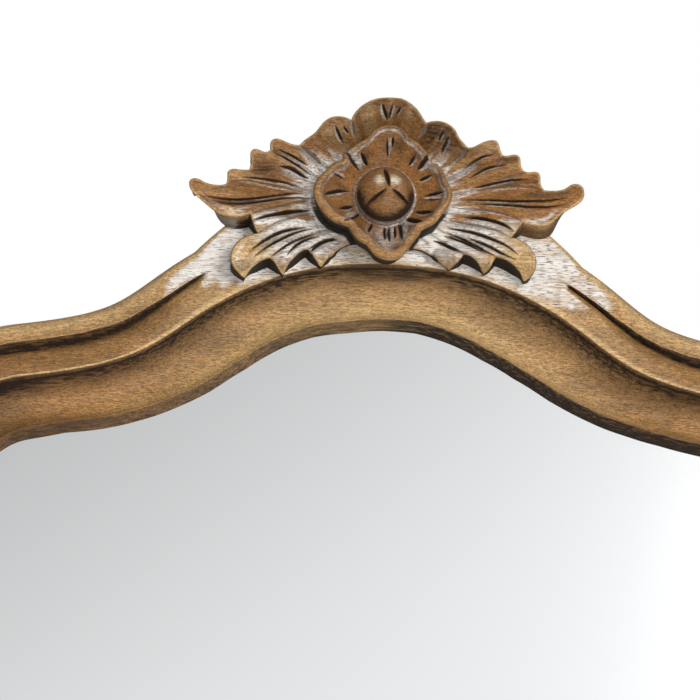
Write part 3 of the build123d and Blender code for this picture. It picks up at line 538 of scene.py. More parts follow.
def board_finish(name, colour):
    """Pressed board: mottled fibres with a faint sheen."""
    f = Finish(name)
    fibres = f.cloud(900.0, 5.0, 0.7, 0.8)
    mottle = f.cloud(60.0, 4.0)
    base = f.mix(fibres.ramp(0.32, 0.68), shade(colour, 0.70), shade(colour, 1.12))
    base = f.mix(mottle.ramp(0.45, 0.70) * 0.35, base, shade(colour, 0.62))
    return f.surface(Base_Color=base, Roughness=0.60 + 0.25 * mottle, Normal=f.bump(fibres, 0.0001))


def finish_named(name):
    """The finish of that name, made when it is first asked for."""
    ready = bpy.data.materials.get(name)
    if ready:
        return ready
    colours = bpy.context.scene.mirror_colours
    makers = {
        "limed_rail": (wood, "X", True),
        "limed_stile": (wood, "Z", True),
        "mahogany_upright": (wood, "Z", False),
        "mahogany_level": (wood, "X", False),
        "mahogany_foot": (wood, "Y", False),
        "aged_brass": (metal, colours.brass, 0.24, 0.6, (0.40, 0.29, 0.17)),
        "bright_steel": (metal, colours.steel, 0.26, 0.35, (0.36, 0.34, 0.33)),
        "silvered_glass": (mirror_finish,),
        "pressed_felt": (cloth_finish, colours.felt),
        "pressed_board": (board_finish, colours.board),
        "beech": (board_finish, colours.beech),
    }
    make, *values = makers[name]
    return make(name, *values)


def both(*names):
    """The left and the right node of each name."""
    return [f"{side}_{name}" for name in names for side in ("left", "right")]


class Dresser:
    """Gives the CAD nodes of one group their finishes."""

    looks = {}

    def execute(self, context):
        for finish, names in self.looks.items():
            for name in names:
                slots = nodes[name].data.materials
                slots.clear()
                slots.append(finish_named(finish))
        return {"FINISHED"}


# Meshes


def build(name, points, faces, masks, finish, replaced, sharp, body="mirror_frame"):
    """A smooth-shaded piece from points in metres, with its masks, riding on a body."""
    mesh = bpy.data.meshes.new(name)
    mesh.from_pydata([tuple(p) for p in points], [], [tuple(f) for f in faces])
    mesh.validate()
    work = bmesh.new()
    work.from_mesh(mesh)
    bmesh.ops.recalc_face_normals(work, faces=work.faces)
    work.to_mesh(mesh)
    work.free()
    for mask, values in masks.items():
        layer = mesh.attributes.new(mask, "FLOAT", "POINT")
        layer.data.foreach_set("value", np.clip(np.asarray(values, dtype=np.float32), 0.0, 1.0))
    mesh.materials.append(finish_named(finish))
    mesh.shade_smooth()
    mesh.set_sharp_from_angle(angle=math.radians(sharp))
    piece = bpy.data.objects.new(name, mesh)
    bpy.context.scene.collection.objects.link(piece)
    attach(piece, body)
    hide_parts(*replaced)
    return piece


def eased(value, low, high):
    """0 below low, 1 above high, smooth between."""
    t = np.clip((np.asarray(value, dtype=float) - low) / (high - low), 0.0, 1.0)
    return t * t * (3.0 - 2.0 * t)


def ease(value, low, high):
    """The same for one number."""
    return float(eased(value, low, high))


def falling(value, low, high):
    """1 below low, 0 above high, smooth between."""
    return 1 - eased(value, low, high)


def hump(value, middle, spread):
    """1 at the middle, fading on both sides."""
    return np.exp(-(((value - middle) / spread) ** 2))


def run_along(spots):
    """Distance of each place from the first, along the line."""
    return np.concatenate([[0.0], np.cumsum(np.linalg.norm(np.diff(spots, axis=0), axis=1))])


def waver(places, pitch, seed):
    """Smooth hand-made variation between -1 and 1 along a line of places."""
    return np.array([noise.noise(Vector((p / pitch, seed, 0.37))) for p in places])


def clamped_spline(knots, first, last, count):
    """Smooth curve through 2-D knots with given end directions."""
    knots = np.array(knots, dtype=float)
    gaps = np.linalg.norm(np.diff(knots, axis=0), axis=1)
    size = len(knots)
    rows = np.zeros((size, size))
    right = np.zeros((size, 2))
    rows[0, 0] = rows[-1, -1] = 1.0
    right[0], right[-1] = first, last
    for i in range(1, size - 1):
        a, b = gaps[i - 1], gaps[i]
        rows[i, i - 1], rows[i, i], rows[i, i + 1] = b, 2 * (a + b), a
        right[i] = 3 * (b / a * (knots[i] - knots[i - 1]) + a / b * (knots[i + 1] - knots[i]))
    slopes = np.linalg.solve(rows, right)
    at = np.concatenate([[0.0], np.cumsum(gaps)])
    spots = []
    for u in np.linspace(0.0, at[-1], count):
        i = min(int(np.searchsorted(at, u, side="right")) - 1, size - 2)
        h = gaps[i]
        t = (u - at[i]) / h
        spots.append(
            (1 + 2 * t) * (1 - t) ** 2 * knots[i] + t * (1 - t) ** 2 * h * slopes[i]
            + t * t * (3 - 2 * t) * knots[i + 1] + t * t * (t - 1) * h * slopes[i + 1]
        )
    return np.array(spots)


def free_spline(knots, pitch):
    """Smooth open curve through 2-D knots at an even pitch."""
    knots = np.array(knots, dtype=float)
    if len(knots) < 3:
        ways = (knots[1] - knots[0], knots[1] - knots[0])
    else:
        ways = (2 * (knots[1] - knots[0]) - (knots[2] - knots[0]) / 2,
                2 * (knots[-1] - knots[-2]) - (knots[-1] - knots[-3]) / 2)
    ends = [w / np.linalg.norm(w) for w in ways]
    return evenly(clamped_spline(knots, ends[0], ends[1], 160), pitch)


def evenly(spots, pitch):
    """The same line with its points at an even pitch."""
    run = run_along(spots)
    count = max(int(math.ceil(run[-1] / pitch)), 2) + 1
    along = np.linspace(0.0, run[-1], count)
    return np.column_stack([np.interp(along, run, spots[:, k]) for k in range(2)])


def arris(sizes, rise, slope, level, upward):
    """Places along the arris of a rail, from its middle out to its right joint."""
    wide = sizes.half_width - sizes.edge
    lean = math.radians(slope)
    end = np.array([math.cos(lean), -upward * math.sin(lean)])
    run = wide - sizes.corner * (1 - math.sin(lean))
    knots = [(x * run, level + upward * rise * z) for x, z in SERPENTINE]
    bend_points, corner_points = 900, 60
    bend = clamped_spline(knots, (1.0, 0.0), end, bend_points)
    hub = bend[-1] - upward * sizes.corner * np.array([upward * math.sin(lean), math.cos(lean)])
    turn = np.linspace(math.radians(90 - slope), 0.0, corner_points)[1:]
    arc = [hub + sizes.corner * np.array([math.cos(a), upward * math.sin(a)]) for a in turn]
    foot = level - upward * (sizes.corner * math.cos(lean) + sizes.lap)
    return np.vstack([bend, arc, [(wide, foot)]])


def outward_ways(spots, upward):
    """Unit ways out of the frame at each place of a right-hand half."""
    along = np.gradient(spots, axis=0)
    along /= np.linalg.norm(along, axis=1)[:, None]
    return np.column_stack([-along[:, 1], along[:, 0]]) * upward


def tablet_reach(sizes, spots, ways, apex):
    """How far each station's ray runs before it leaves the moulding or the tablet."""
    top, longest, least_cross = apex + TABLET_HIGH, 0.15, 1e-12
    line = list(free_spline([(x * SHOULDER_WIDE, apex + z * SHOULDER_HIGH) for x, z in SHOULDER], 0.002))
    line.append((SHOULDER_WIDE * TABLET_SIDE[0], apex + TABLET_HIGH * TABLET_SIDE[1]))
    line += [(0.0, top), (-0.01, top - 0.002)]
    line = np.array(line)
    starts, spans = line[:-1], np.diff(line, axis=0)
    reach = np.full(len(spots), sizes.edge)
    for i, (spot, way) in enumerate(zip(spots, ways)):
        cross = way[0] * spans[:, 1] - way[1] * spans[:, 0]
        cross = np.where(np.abs(cross) < least_cross, least_cross, cross)
        gap = starts - spot
        t = (gap[:, 0] * spans[:, 1] - gap[:, 1] * spans[:, 0]) / cross
        q = (gap[:, 0] * way[1] - gap[:, 1] * way[0]) / cross
        hits = t[(q >= 0) & (q <= 1) & (t > 0) & (t < longest)]
        if len(hits):
            reach[i] = max(reach[i], hits.max())
    return reach


def section(sizes, groove, deepness, reach, bead, fall, shift, stray=0.0):
    """Points across the moulding as (outward, forward, zone, share of the zone)."""
    face, sight = sizes.depth, SIGHT - stray
    lip = sizes.groove_edge - 0.0015 * (1 - groove) + shift
    near = lip - max(sizes.groove_edge * groove, 0.003)
    low = lip - max(0.0035 * groove, 0.0006)
    deep = sizes.groove_depth * deepness
    rebate = ((REBATE, 0.0), (REBATE, LEDGE - BEVEL / 2), (REBATE - BEVEL, LEDGE), (sight + BEVEL, LEDGE))
    rows = [(*place, "back", 0) for place in rebate] + [(sight, LEDGE + BEVEL, "sight", 0)]
    rows += [(sight + 0.004 * t, LEDGE + 0.010 * t, "sight", t) for t in (0.1, 0.4, 0.7, 0.93)]
    for i, (u, v) in enumerate(arc_through(*HOLLOW, 15)):
        # the hollow stretches with the sight edge; its first point stays clear of that edge
        u += stray * (u + 0.002) / 0.028 + (0.0004 if i == 0 else 0.0)
        rows.append((u, v, "cove", i / 14))
    rows += [(u, v, "quirk", t) for u, v, t in QUIRK]
    worn = deep * 0.03
    # the arris is rubbed lower where the full groove runs along it
    crowns = (0.0298, face - worn) if groove >= 0.97 else (0.02995, face)
    rows += [(0.0003, crowns[0], "arris", 1), (ARRIS_SIDE, crowns[1], "arris", 1)]
    for t in (0.25, 0.6, 1.0):
        if near > LEAST_FIELD:
            rows.append((ARRIS_SIDE + (near - ARRIS_SIDE) * t, face, "field", t))
        else:
            rows.append((ARRIS_SIDE + BEVEL * t, face - worn, "field", t))
    start, first = rows[-1][0], lip + 0.0007
    base = max(reach - bead, first)
    for t in SLOPE:
        rows.append((start + (low - start) * t, face - deep * (0.35 * t + 0.65 * t ** 1.9), "slope", t))
    rows += [(low + (lip - low) * t, face - deep * (1 - t), "wall", t) for t in (0.25, 0.5, 0.75, 0.95)]
    rows.append((lip + 0.0003, face - 0.00005, "lip", 1.0))
    rows += [(first + (base - first) * t, face, "field", 1 + t) for t in np.linspace(0.0, 1.0, 7)]
    for t in np.linspace(0.08, 1.0, 11):
        a = math.radians(90) * t
        rows.append((base + (reach - base) * math.sin(a), face - fall + fall * math.cos(a), "bead", t))
    rows += [(reach, (face - fall) * (1 - t), "side", t) for t in (0.12, 0.4, 0.7, 0.95)]
    rows.append((reach - 0.0008, 0.0, "back", 1))
    return rows


def arc_through(a, b, c, count):
    """Points of the arc through three places."""
    (ax, ay), (bx, by), (cx, cy) = a, b, c
    d = 2 * (ax * (by - cy) + bx * (cy - ay) + cx * (ay - by))
    x = ((ax**2 + ay**2) * (by - cy) + (bx**2 + by**2) * (cy - ay) + (cx**2 + cy**2) * (ay - by)) / d
    y = ((ax**2 + ay**2) * (cx - bx) + (bx**2 + by**2) * (ax - cx) + (cx**2 + cy**2) * (bx - ax)) / d
    radius = math.hypot(ax - x, ay - y)
    first, mid, last = (math.atan2(p[1] - y, p[0] - x) for p in (a, b, c))
    while mid < first:
        mid += 2 * math.pi
    while last < mid:
        last += 2 * math.pi
    if last - first > 2 * math.pi:
        last -= 2 * math.pi
    turns = np.linspace(first, last, count)
    return [(x + radius * math.cos(t), y + radius * math.sin(t)) for t in turns]


def crest_lime(zone, t, x, above, groove, side):
    """Wax that the crest leaves on the top rail at one point."""
    tongue = ease(0.123 - abs(x), -0.002, 0.004)
    edge = -0.0146 if side < 0 else -0.021
    inner = ease(above - edge, -0.0012, 0.0012) * ease(0.112 - abs(x), 0.0, 0.004)
    if zone == "field":
        return tongue if t > 1 else inner
    if zone in ("slope", "wall"):
        lime = inner * (1 - min(1.0, groove * 6))
        return max(lime, 0.35 * groove * (1 - t)) if zone == "wall" and side > 0 else lime
    shares = {"lip": 0.8 * tongue, "arris": 0.5 * inner, "side": 0.35 * tongue,
              "bead": tongue * 0.9 * (1 - ease(t, 0.0, 0.3))}
    return shares.get(zone, 0.0)


def zone_masks(zone, t, x, z, groove, crest, side):
    """Limed, glaze with painted shade, worn with some painted light, and carved of one point of the moulding.
    """
    glazed, worn, middle = 0.0, 0.0, math.exp(-((x / 0.13) ** 2))
    if zone == "cove":
        # glaze with painted shade in the hollow next to the arris, more towards the right and at the far left;
        # next to the sight edge it is rubbed gold towards the middle, partly painted light on a face turned up
        glazed = ease(t, 0.44 - 0.10 * ease(x, 0.06, 0.14), 0.95) * 0.68
        glazed += 0.10 * ease(1 - t, 0.9, 1.0) + 0.28 * ease(-x, 0.18, 0.23)
        worn = 0.9 * middle * ease(1 - t, 0.45, 0.80)
    elif zone == "sight":
        # glaze with painted shade on the sight edge, darker towards the right where it faces away from the
        # light
        glazed = 0.50 + 0.20 * ease(x, -0.010, 0.030) + 0.12 * (1 - t)
    elif zone == "quirk":
        glazed = 1 - 0.7 * t
    elif zone == "arris":
        worn = 1.0
    elif zone == "slope":
        glazed = ease(t, 0.72, 0.99) * 0.66 * min(1.0, groove * 6)
        worn = 0.45 * (1 - t) * middle
    elif zone == "wall":
        glazed = (0.92 - 0.34 * t) * min(1.0, groove * 8)
    elif zone == "lip":
        glazed, worn = 0.15, 0.8
    elif zone == "side":
        glazed = 0.12
    elif zone == "field":
        worn = 0.55 * middle
    elif zone == "bead":
        worn = 0.85 * (1 - abs(2 * t - 0.7)) if t < 0.85 else 0.1
        glazed = 0.35 * ease(t, 0.7, 1.0)
    limed = crest_lime(zone, t, x, z - crest, groove, side) if crest else 0.0
    return limed, glazed, worn, 0.7 * (1 - middle)


def add_masks(masks, got, seam):
    """Adds one point's masks, with glaze in the seam between two pieces."""
    for mask, value in zip(MASKS, got):
        masks[mask].append(max(value, SEAM_GLAZE) if seam and mask == "glazed" else value)


def sweep(name, spots, ways, rows, masks, finish, sizes, replaced):
    """Skins sections along a line of stations and caps both ends."""
    across = len(rows[0])
    points, faces = [], []
    for spot, way, row in zip(spots, ways, rows):
        for u, v, _, _ in row:
            points.append((spot[0] + way[0] * u, sizes.back - v, spot[1] + way[1] * u))
    for i in range(len(spots) - 1):
        for k in range(across):
            n = (k + 1) % across
            faces.append((i * across + k, i * across + n, (i + 1) * across + n, (i + 1) * across + k))
    last = (len(spots) - 1) * across
    faces.append(tuple(reversed(range(across))))
    faces.append(tuple(last + k for k in range(across)))
    return build(name, points, faces, masks, finish, replaced, MOULDED)


def arms_level(sizes):
    """Level of the top rail's arris over its arms."""
    return sizes.foot + sizes.height - sizes.edge


def rail(name, sizes, upward, finish):
    """One serpentine rail with its corners, from joint to joint."""
    if upward > 0:
        rise, slope, level, pitch = sizes.arch, 9.0, arms_level(sizes), sizes.step
    else:
        rise, slope, level, pitch = sizes.dip, 4.0, sizes.foot + sizes.dip + sizes.edge, sizes.step * 1.7
    half = evenly(arris(sizes, rise, slope, level, upward), pitch)
    ways = outward_ways(half, upward)
    ways[0] = (0.0, upward)
    ways[-1] = (1.0, 0.0)
    run = run_along(half)
    apex = level + rise
    reach = tablet_reach(sizes, half, ways, apex) if upward > 0 else np.full(len(half), sizes.edge)
    spots, turns, rows, masks = [], [], [], {mask: [] for mask in MASKS}
    order = [(-1, i) for i in range(len(half) - 1, 0, -1)] + [(1, i) for i in range(len(half))]
    places = [s * run[i] for s, i in order]
    wander = waver(places, WANDER_PITCH, 4.0 + upward)
    depth = waver(places, DEPTH_PITCH, 9.0 + upward)
    for (side, i), w, d in zip(order, wander, depth):
        x, z = half[i]
        groove, deepness, stray, bead, fall = 1.0, 1.0, 0.0, sizes.bead_width, sizes.bead_height
        if upward > 0:
            starts, *shares = zip(*GROOVE_START[side > 0])
            lip_x = (x + ways[i][0] * 0.018) * 1000
            groove, deepness = (float(np.interp(lip_x, starts, share)) for share in shares)
            sight_x = side * (x - ways[i][0] * 0.032) * 1000
            stray = MILLIMETRE * float(np.interp(sight_x, *zip(*STRAY)))
            narrow = ease(x, 0.078, 0.128)
            bead = THIN_BEAD + (sizes.bead_width - THIN_BEAD) * narrow
            fall = THIN_BEAD + (sizes.bead_height - THIN_BEAD) * narrow
        deepness *= 1 + DEPTH_SHARE * float(d)
        row = section(sizes, groove, deepness, reach[i], bead, fall, sizes.cut_wander * float(w), stray)
        spots.append((side * x, z))
        turns.append((side * ways[i][0], ways[i][1]))
        rows.append(row)
        seam = run[-1] - run[i] < SEAM
        for u, v, zone, t in row:
            px = side * x + side * ways[i][0] * u
            pz = z + ways[i][1] * u
            add_masks(masks, zone_masks(zone, t, px, pz, groove, apex if upward > 0 else 0, side), seam)
    replaced = [name.replace("carved_", "")]
    return sweep(name, np.array(spots), np.array(turns), rows, masks, finish, sizes, replaced)


def stile(name, sizes, side):
    """One straight stile between the rails, well beside the crest."""
    node = f"{'left' if side < 0 else 'right'}_stile"
    low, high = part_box(node)[0][2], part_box(node)[1][2]
    levels = np.linspace(low, high, 260)
    levels = np.sort(np.concatenate([levels, [low + SEAM, high - SEAM]]))
    wander = waver(levels, WANDER_PITCH, 2.0 * side)
    depth = waver(levels, DEPTH_PITCH, 5.0 * side)
    wide = sizes.half_width - sizes.edge
    rows, masks = [], {mask: [] for mask in MASKS}
    for z, w, d in zip(levels, wander, depth):
        row = section(sizes, 1.0, 1 + DEPTH_SHARE * float(d), sizes.edge, sizes.bead_width,
                      sizes.bead_height, sizes.cut_wander * float(w))
        rows.append(row)
        seam = min(z - low, high - z) < SEAM / 2
        for _, _, zone, t in row:
            add_masks(masks, zone_masks(zone, t, 0.3, z, 1.0, 0, side), seam)
    if side > 0:
        levels = levels[::-1]
        rows = rows[::-1]
        masks = {k: list(np.array(v).reshape(len(levels), -1)[::-1].ravel()) for k, v in masks.items()}
    spots = [(side * wide, z) for z in levels]
    return sweep(name, spots, [(side, 0.0)] * len(spots), rows, masks, "limed_stile", sizes, [node])


# Carving


def outline_of(lobes, wide, high, pitch):
    """Closed outline through the lobes, with its notches kept sharp."""
    line, last = [], lobes[-1][-1]
    for lobe in lobes:
        line.extend(free_spline([(x / 1000 * wide, z / 1000 * high) for x, z in (last, *lobe)], pitch)[:-1])
        last = lobe[-1]
    return np.array(line)


def inside(spots, line):
    """Which places lie inside a closed line."""
    held = np.zeros(len(spots), dtype=bool)
    xs, zs = spots[:, 0], spots[:, 1]
    ends = np.roll(line, -1, axis=0)
    for (x0, z0), (x1, z1) in zip(line, ends):
        if z0 != z1:
            crosses = ((z0 > zs) != (z1 > zs)) & (xs < (x1 - x0) * (zs - z0) / (z1 - z0) + x0)
            held ^= crosses
    return held


def distance_to(spots, line):
    """Distance of each place to a closed line."""
    best = np.full(len(spots), np.inf)
    ends = np.roll(line, -1, axis=0)
    for a, b in zip(line, ends):
        span = b - a
        t = np.clip(((spots - a) @ span) / max(span @ span, 1e-18), 0.0, 1.0)
        gap = spots - a - t[:, None] * span
        best = np.minimum(best, gap[:, 0] ** 2 + gap[:, 1] ** 2)
    return np.sqrt(best)


def cuts_of(table, wide, high):
    """Each cut's course and half width in metres."""
    return [(free_spline([(x / 1000 * wide, z / 1000 * high) for x, z in places], MILLIMETRE),
             half * MILLIMETRE) for half, *places in table]


def belly(share):
    """Width of a spindle at a share of its length."""
    return np.clip(4 * share * (1 - share), 0.0, 1.0) ** 0.6


def cut_shape(spots, line, half_wide, lean):
    """Depth share of a spindle cut along a line, with one steep and one easy side, and its dark share: glaze
    with painted shadow, nearer the steep side.
    """
    depth, dark = np.zeros(len(spots)), np.zeros(len(spots))
    edge = 2 * half_wide
    near = np.all((spots > line.min(axis=0) - edge) & (spots < line.max(axis=0) + edge), axis=1)
    here = spots[near]
    spans = np.diff(line, axis=0)
    lengths = np.linalg.norm(spans, axis=1)
    run = run_along(line)
    best, off, along = np.full(len(here), np.inf), np.zeros(len(here)), np.zeros(len(here))
    for start, span, size, past in zip(line, spans, lengths, run):
        gap = here - start
        t = np.clip((gap @ span) / size**2, 0.0, 1.0)
        reach = np.hypot(*(gap - t[:, None] * span).T)
        closer = reach < best
        best = np.where(closer, reach, best)
        off = np.where(closer, reach * np.sign(span[0] * gap[:, 1] - span[1] * gap[:, 0]), off)
        along = np.where(closer, (past + t * size) / run[-1], along)
    full = belly(along)
    wide = np.maximum(half_wide * full, 1e-7)
    off = off * lean * (1.0 if spans.sum(axis=0)[0] > 0 else -1.0)
    share = np.where(off > 0, 1 - off / (wide * STEEP), 1 + off / (wide * EASY))
    depth[near] = np.clip(share, 0.0, 1.0) * full
    dark[near] = np.clip(1.7 - 1.7 * np.abs(off - wide * 0.15) / (wide * 0.62), 0.0, 1.0) * full**0.5
    return depth, dark


def cut_into(spots, cuts):
    """Deepest cut and darkest shadow at each place; a cut is a course, half width, depth, shadow and lean."""
    depth, dark = np.zeros(len(spots)), np.zeros(len(spots))
    for course, half, deep, shadowed, lean in cuts:
        share, shadow = cut_shape(spots, course, half, lean)
        depth = np.maximum(depth, share * deep)
        dark = np.maximum(dark, shadow * shadowed)
    return depth, dark


def feature_points(line, half_wide, pitch):
    """Points along a cut's bottom and lips, so that the surface keeps its line."""
    spots = evenly(line, pitch)
    ways = np.gradient(spots, axis=0)
    ways /= np.linalg.norm(ways, axis=1)[:, None]
    sides = np.column_stack([-ways[:, 1], ways[:, 0]])
    full = belly(np.linspace(0.0, 1.0, len(spots)))[:, None]
    return [p for off in (-EASY, -0.7, 0.0, STEEP) for p in (spots + sides * half_wide * full * off)[1:-1]]


def surface_points(line, extras, pitch):
    """Even points inside a line, clear of it, with the extra points in their place."""

    def held(places, clear):
        places = places[inside(places, line)]
        return places[distance_to(places, line) > pitch * clear]

    # spacing of the rows and least distances, as shares of the pitch; points that are compared at a time
    row_share, line_clear, extras_clear, points_clear, batch = 0.866, 0.45, 0.3, 0.42, 4000
    low, high = line.min(axis=0), line.max(axis=0)
    cols = np.arange(low[0], high[0], pitch)
    made = []
    for k, z in enumerate(np.arange(low[1], high[1], pitch * row_share)):
        made.append(np.column_stack([cols + (k % 2) * pitch / 2, np.full(len(cols), z)]))
    spots, extras = held(np.vstack(made), line_clear), held(np.array(extras), extras_clear)
    keep = np.ones(len(spots), dtype=bool)
    for chunk in np.array_split(np.arange(len(spots)), max(len(spots) // batch, 1)):
        gaps = spots[chunk][:, None, :] - extras[None, :, :]
        keep[chunk] = (gaps**2).sum(axis=2).min(axis=1) > (pitch * points_clear) ** 2
    return np.vstack([spots[keep], extras])


def crest_foot(sizes):
    """Place on the rail's face, at its top arris, that the crest is measured from."""
    return 0.0, sizes.back - sizes.depth, arms_level(sizes) + sizes.arch


def carve(name, line, cuts, detail, height, mask_of, walls, pitch, centre, replaced, back):
    """A carved piece inside a clockwise line: its front as a height over the face, walls and flat back."""
    extras = [p for course, half, *_ in cuts for p in feature_points(course, half, pitch * detail)]
    spots = surface_points(line, extras, pitch)
    top, count = line[:, 1].max(), len(line)
    loop = [(i, (i + 1) % count) for i in range(count)]
    got = delaunay_2d_cdt([Vector(p) for p in np.vstack([line, spots])], loop, [], 1, 1e-7)
    front = np.array([tuple(p) for p in got[0]])
    faces = [tuple(f) for f in got[2]]
    origin = {s: j for j, sources in enumerate(got[3]) for s in sources}
    gap = distance_to(front, line)
    heights = height(front, gap)
    values = mask_of(front, gap)
    points = [(centre[0] + p[0], centre[1] - h, centre[2] + p[1]) for p, h in zip(front, heights)]
    order = [origin[i] for i in reversed(range(count))]
    ring = front[order]
    along = np.roll(ring, -1, axis=0) - np.roll(ring, 1, axis=0)
    along /= np.maximum(np.linalg.norm(along, axis=1), 1e-9)[:, None]
    out = np.column_stack([along[:, 1], -along[:, 0]])
    rim_height = heights[order]
    previous = order
    for share, spread, *shown in walls(ring, out, rim_height):
        first = len(points)
        for p, o, s, h in zip(ring, out, spread, back + (rim_height - back) * share):
            points.append((centre[0] + p[0] + o[0] * s, centre[1] - h, centre[2] + min(p[1] + o[1] * s, top)))
        for mask, extra in zip(MASKS, (*shown, np.full(count, 0.7))):
            values[mask] = np.concatenate([values[mask], extra])
        for k in range(count):
            n = (k + 1) % count
            faces.append((previous[k], first + k, first + n, previous[n]))
        previous = [first + k for k in range(count)]
    shut = delaunay_2d_cdt([Vector((points[k][0], points[k][2])) for k in previous], loop, [], 1, 1e-9)
    if len(shut[0]) == count:
        names = [previous[sources[0]] for sources in shut[3]]
        faces += [tuple(reversed([names[j] for j in f])) for f in shut[2]]
    return build(name, points, faces, values, "limed_rail", replaced, CARVED)


def spread_waves(spots, pitch, seed):
    """Smooth hand-made variation between -1 and 1 over a surface."""
    return np.array([noise.noise(Vector((p[0] / pitch, p[1] / pitch, seed))) for p in spots])


def patches(spots, pitch, seed):
    """The same between 0 and 1."""
    return 0.5 + 0.5 * spread_waves(spots, pitch, seed)


def deepest(*shares):
    """The largest share at each place."""
    made = shares[0]
    for share in shares[1:]:
        made = np.maximum(made, share)
    return made


def polar(spots, middle):
    """Reach and turn of each place round a middle."""
    gaps = spots - middle
    return np.linalg.norm(gaps, axis=1), np.arctan2(gaps[:, 1], gaps[:, 0])


def edge_round(gap, radius):
    """Fall of a rounded edge at a distance in from the outline."""
    near = np.clip(radius - gap, 0.0, radius)
    return radius - np.sqrt(np.maximum(radius**2 - near**2, 0.0))


def leaf_pillow(spots, middle, wide, high):
    """Swell of each leaf between the notches either side of it, 0 to 1."""
    turn = np.degrees(polar(spots, middle)[1]) % 360
    edges = sorted(
        math.degrees(math.atan2(z / 1000 * high - middle[1], x / 1000 * wide - middle[0])) % 360
        for _, (x, z), *_ in CREASES
    )
    edges.append(edges[0] + 360.0)
    turn = np.where(turn < edges[0], turn + 360, turn)
    place = np.clip(np.searchsorted(edges, turn, side="right") - 1, 0, len(edges) - 2)
    first, last = np.array(edges)[place], np.array(edges)[place + 1]
    share = np.clip((turn - first) / (last - first), 0.0, 1.0)
    return 4 * share * (1 - share)


def streaks(spots, middle, seed):
    """Variation between 0 and 1 drawn out along the leaves, away from the flower."""
    made = [noise.noise(Vector((math.cos(a) * 15, math.sin(a) * 15, seed + r / 0.04)))
            for r, a in zip(*polar(spots, middle))]
    return np.clip(0.5 + 1.3 * np.array(made), 0.0, 1.0)


def rings(count, *rows):
    """Wall rings: share of the height, outward run, then limed, glaze-with-painted-shade and worn masks."""
    made = []
    for share, *values in rows:
        made.append((share, *[np.broadcast_to(np.asarray(v, dtype=float), (count,)).copy() for v in values]))
    return made


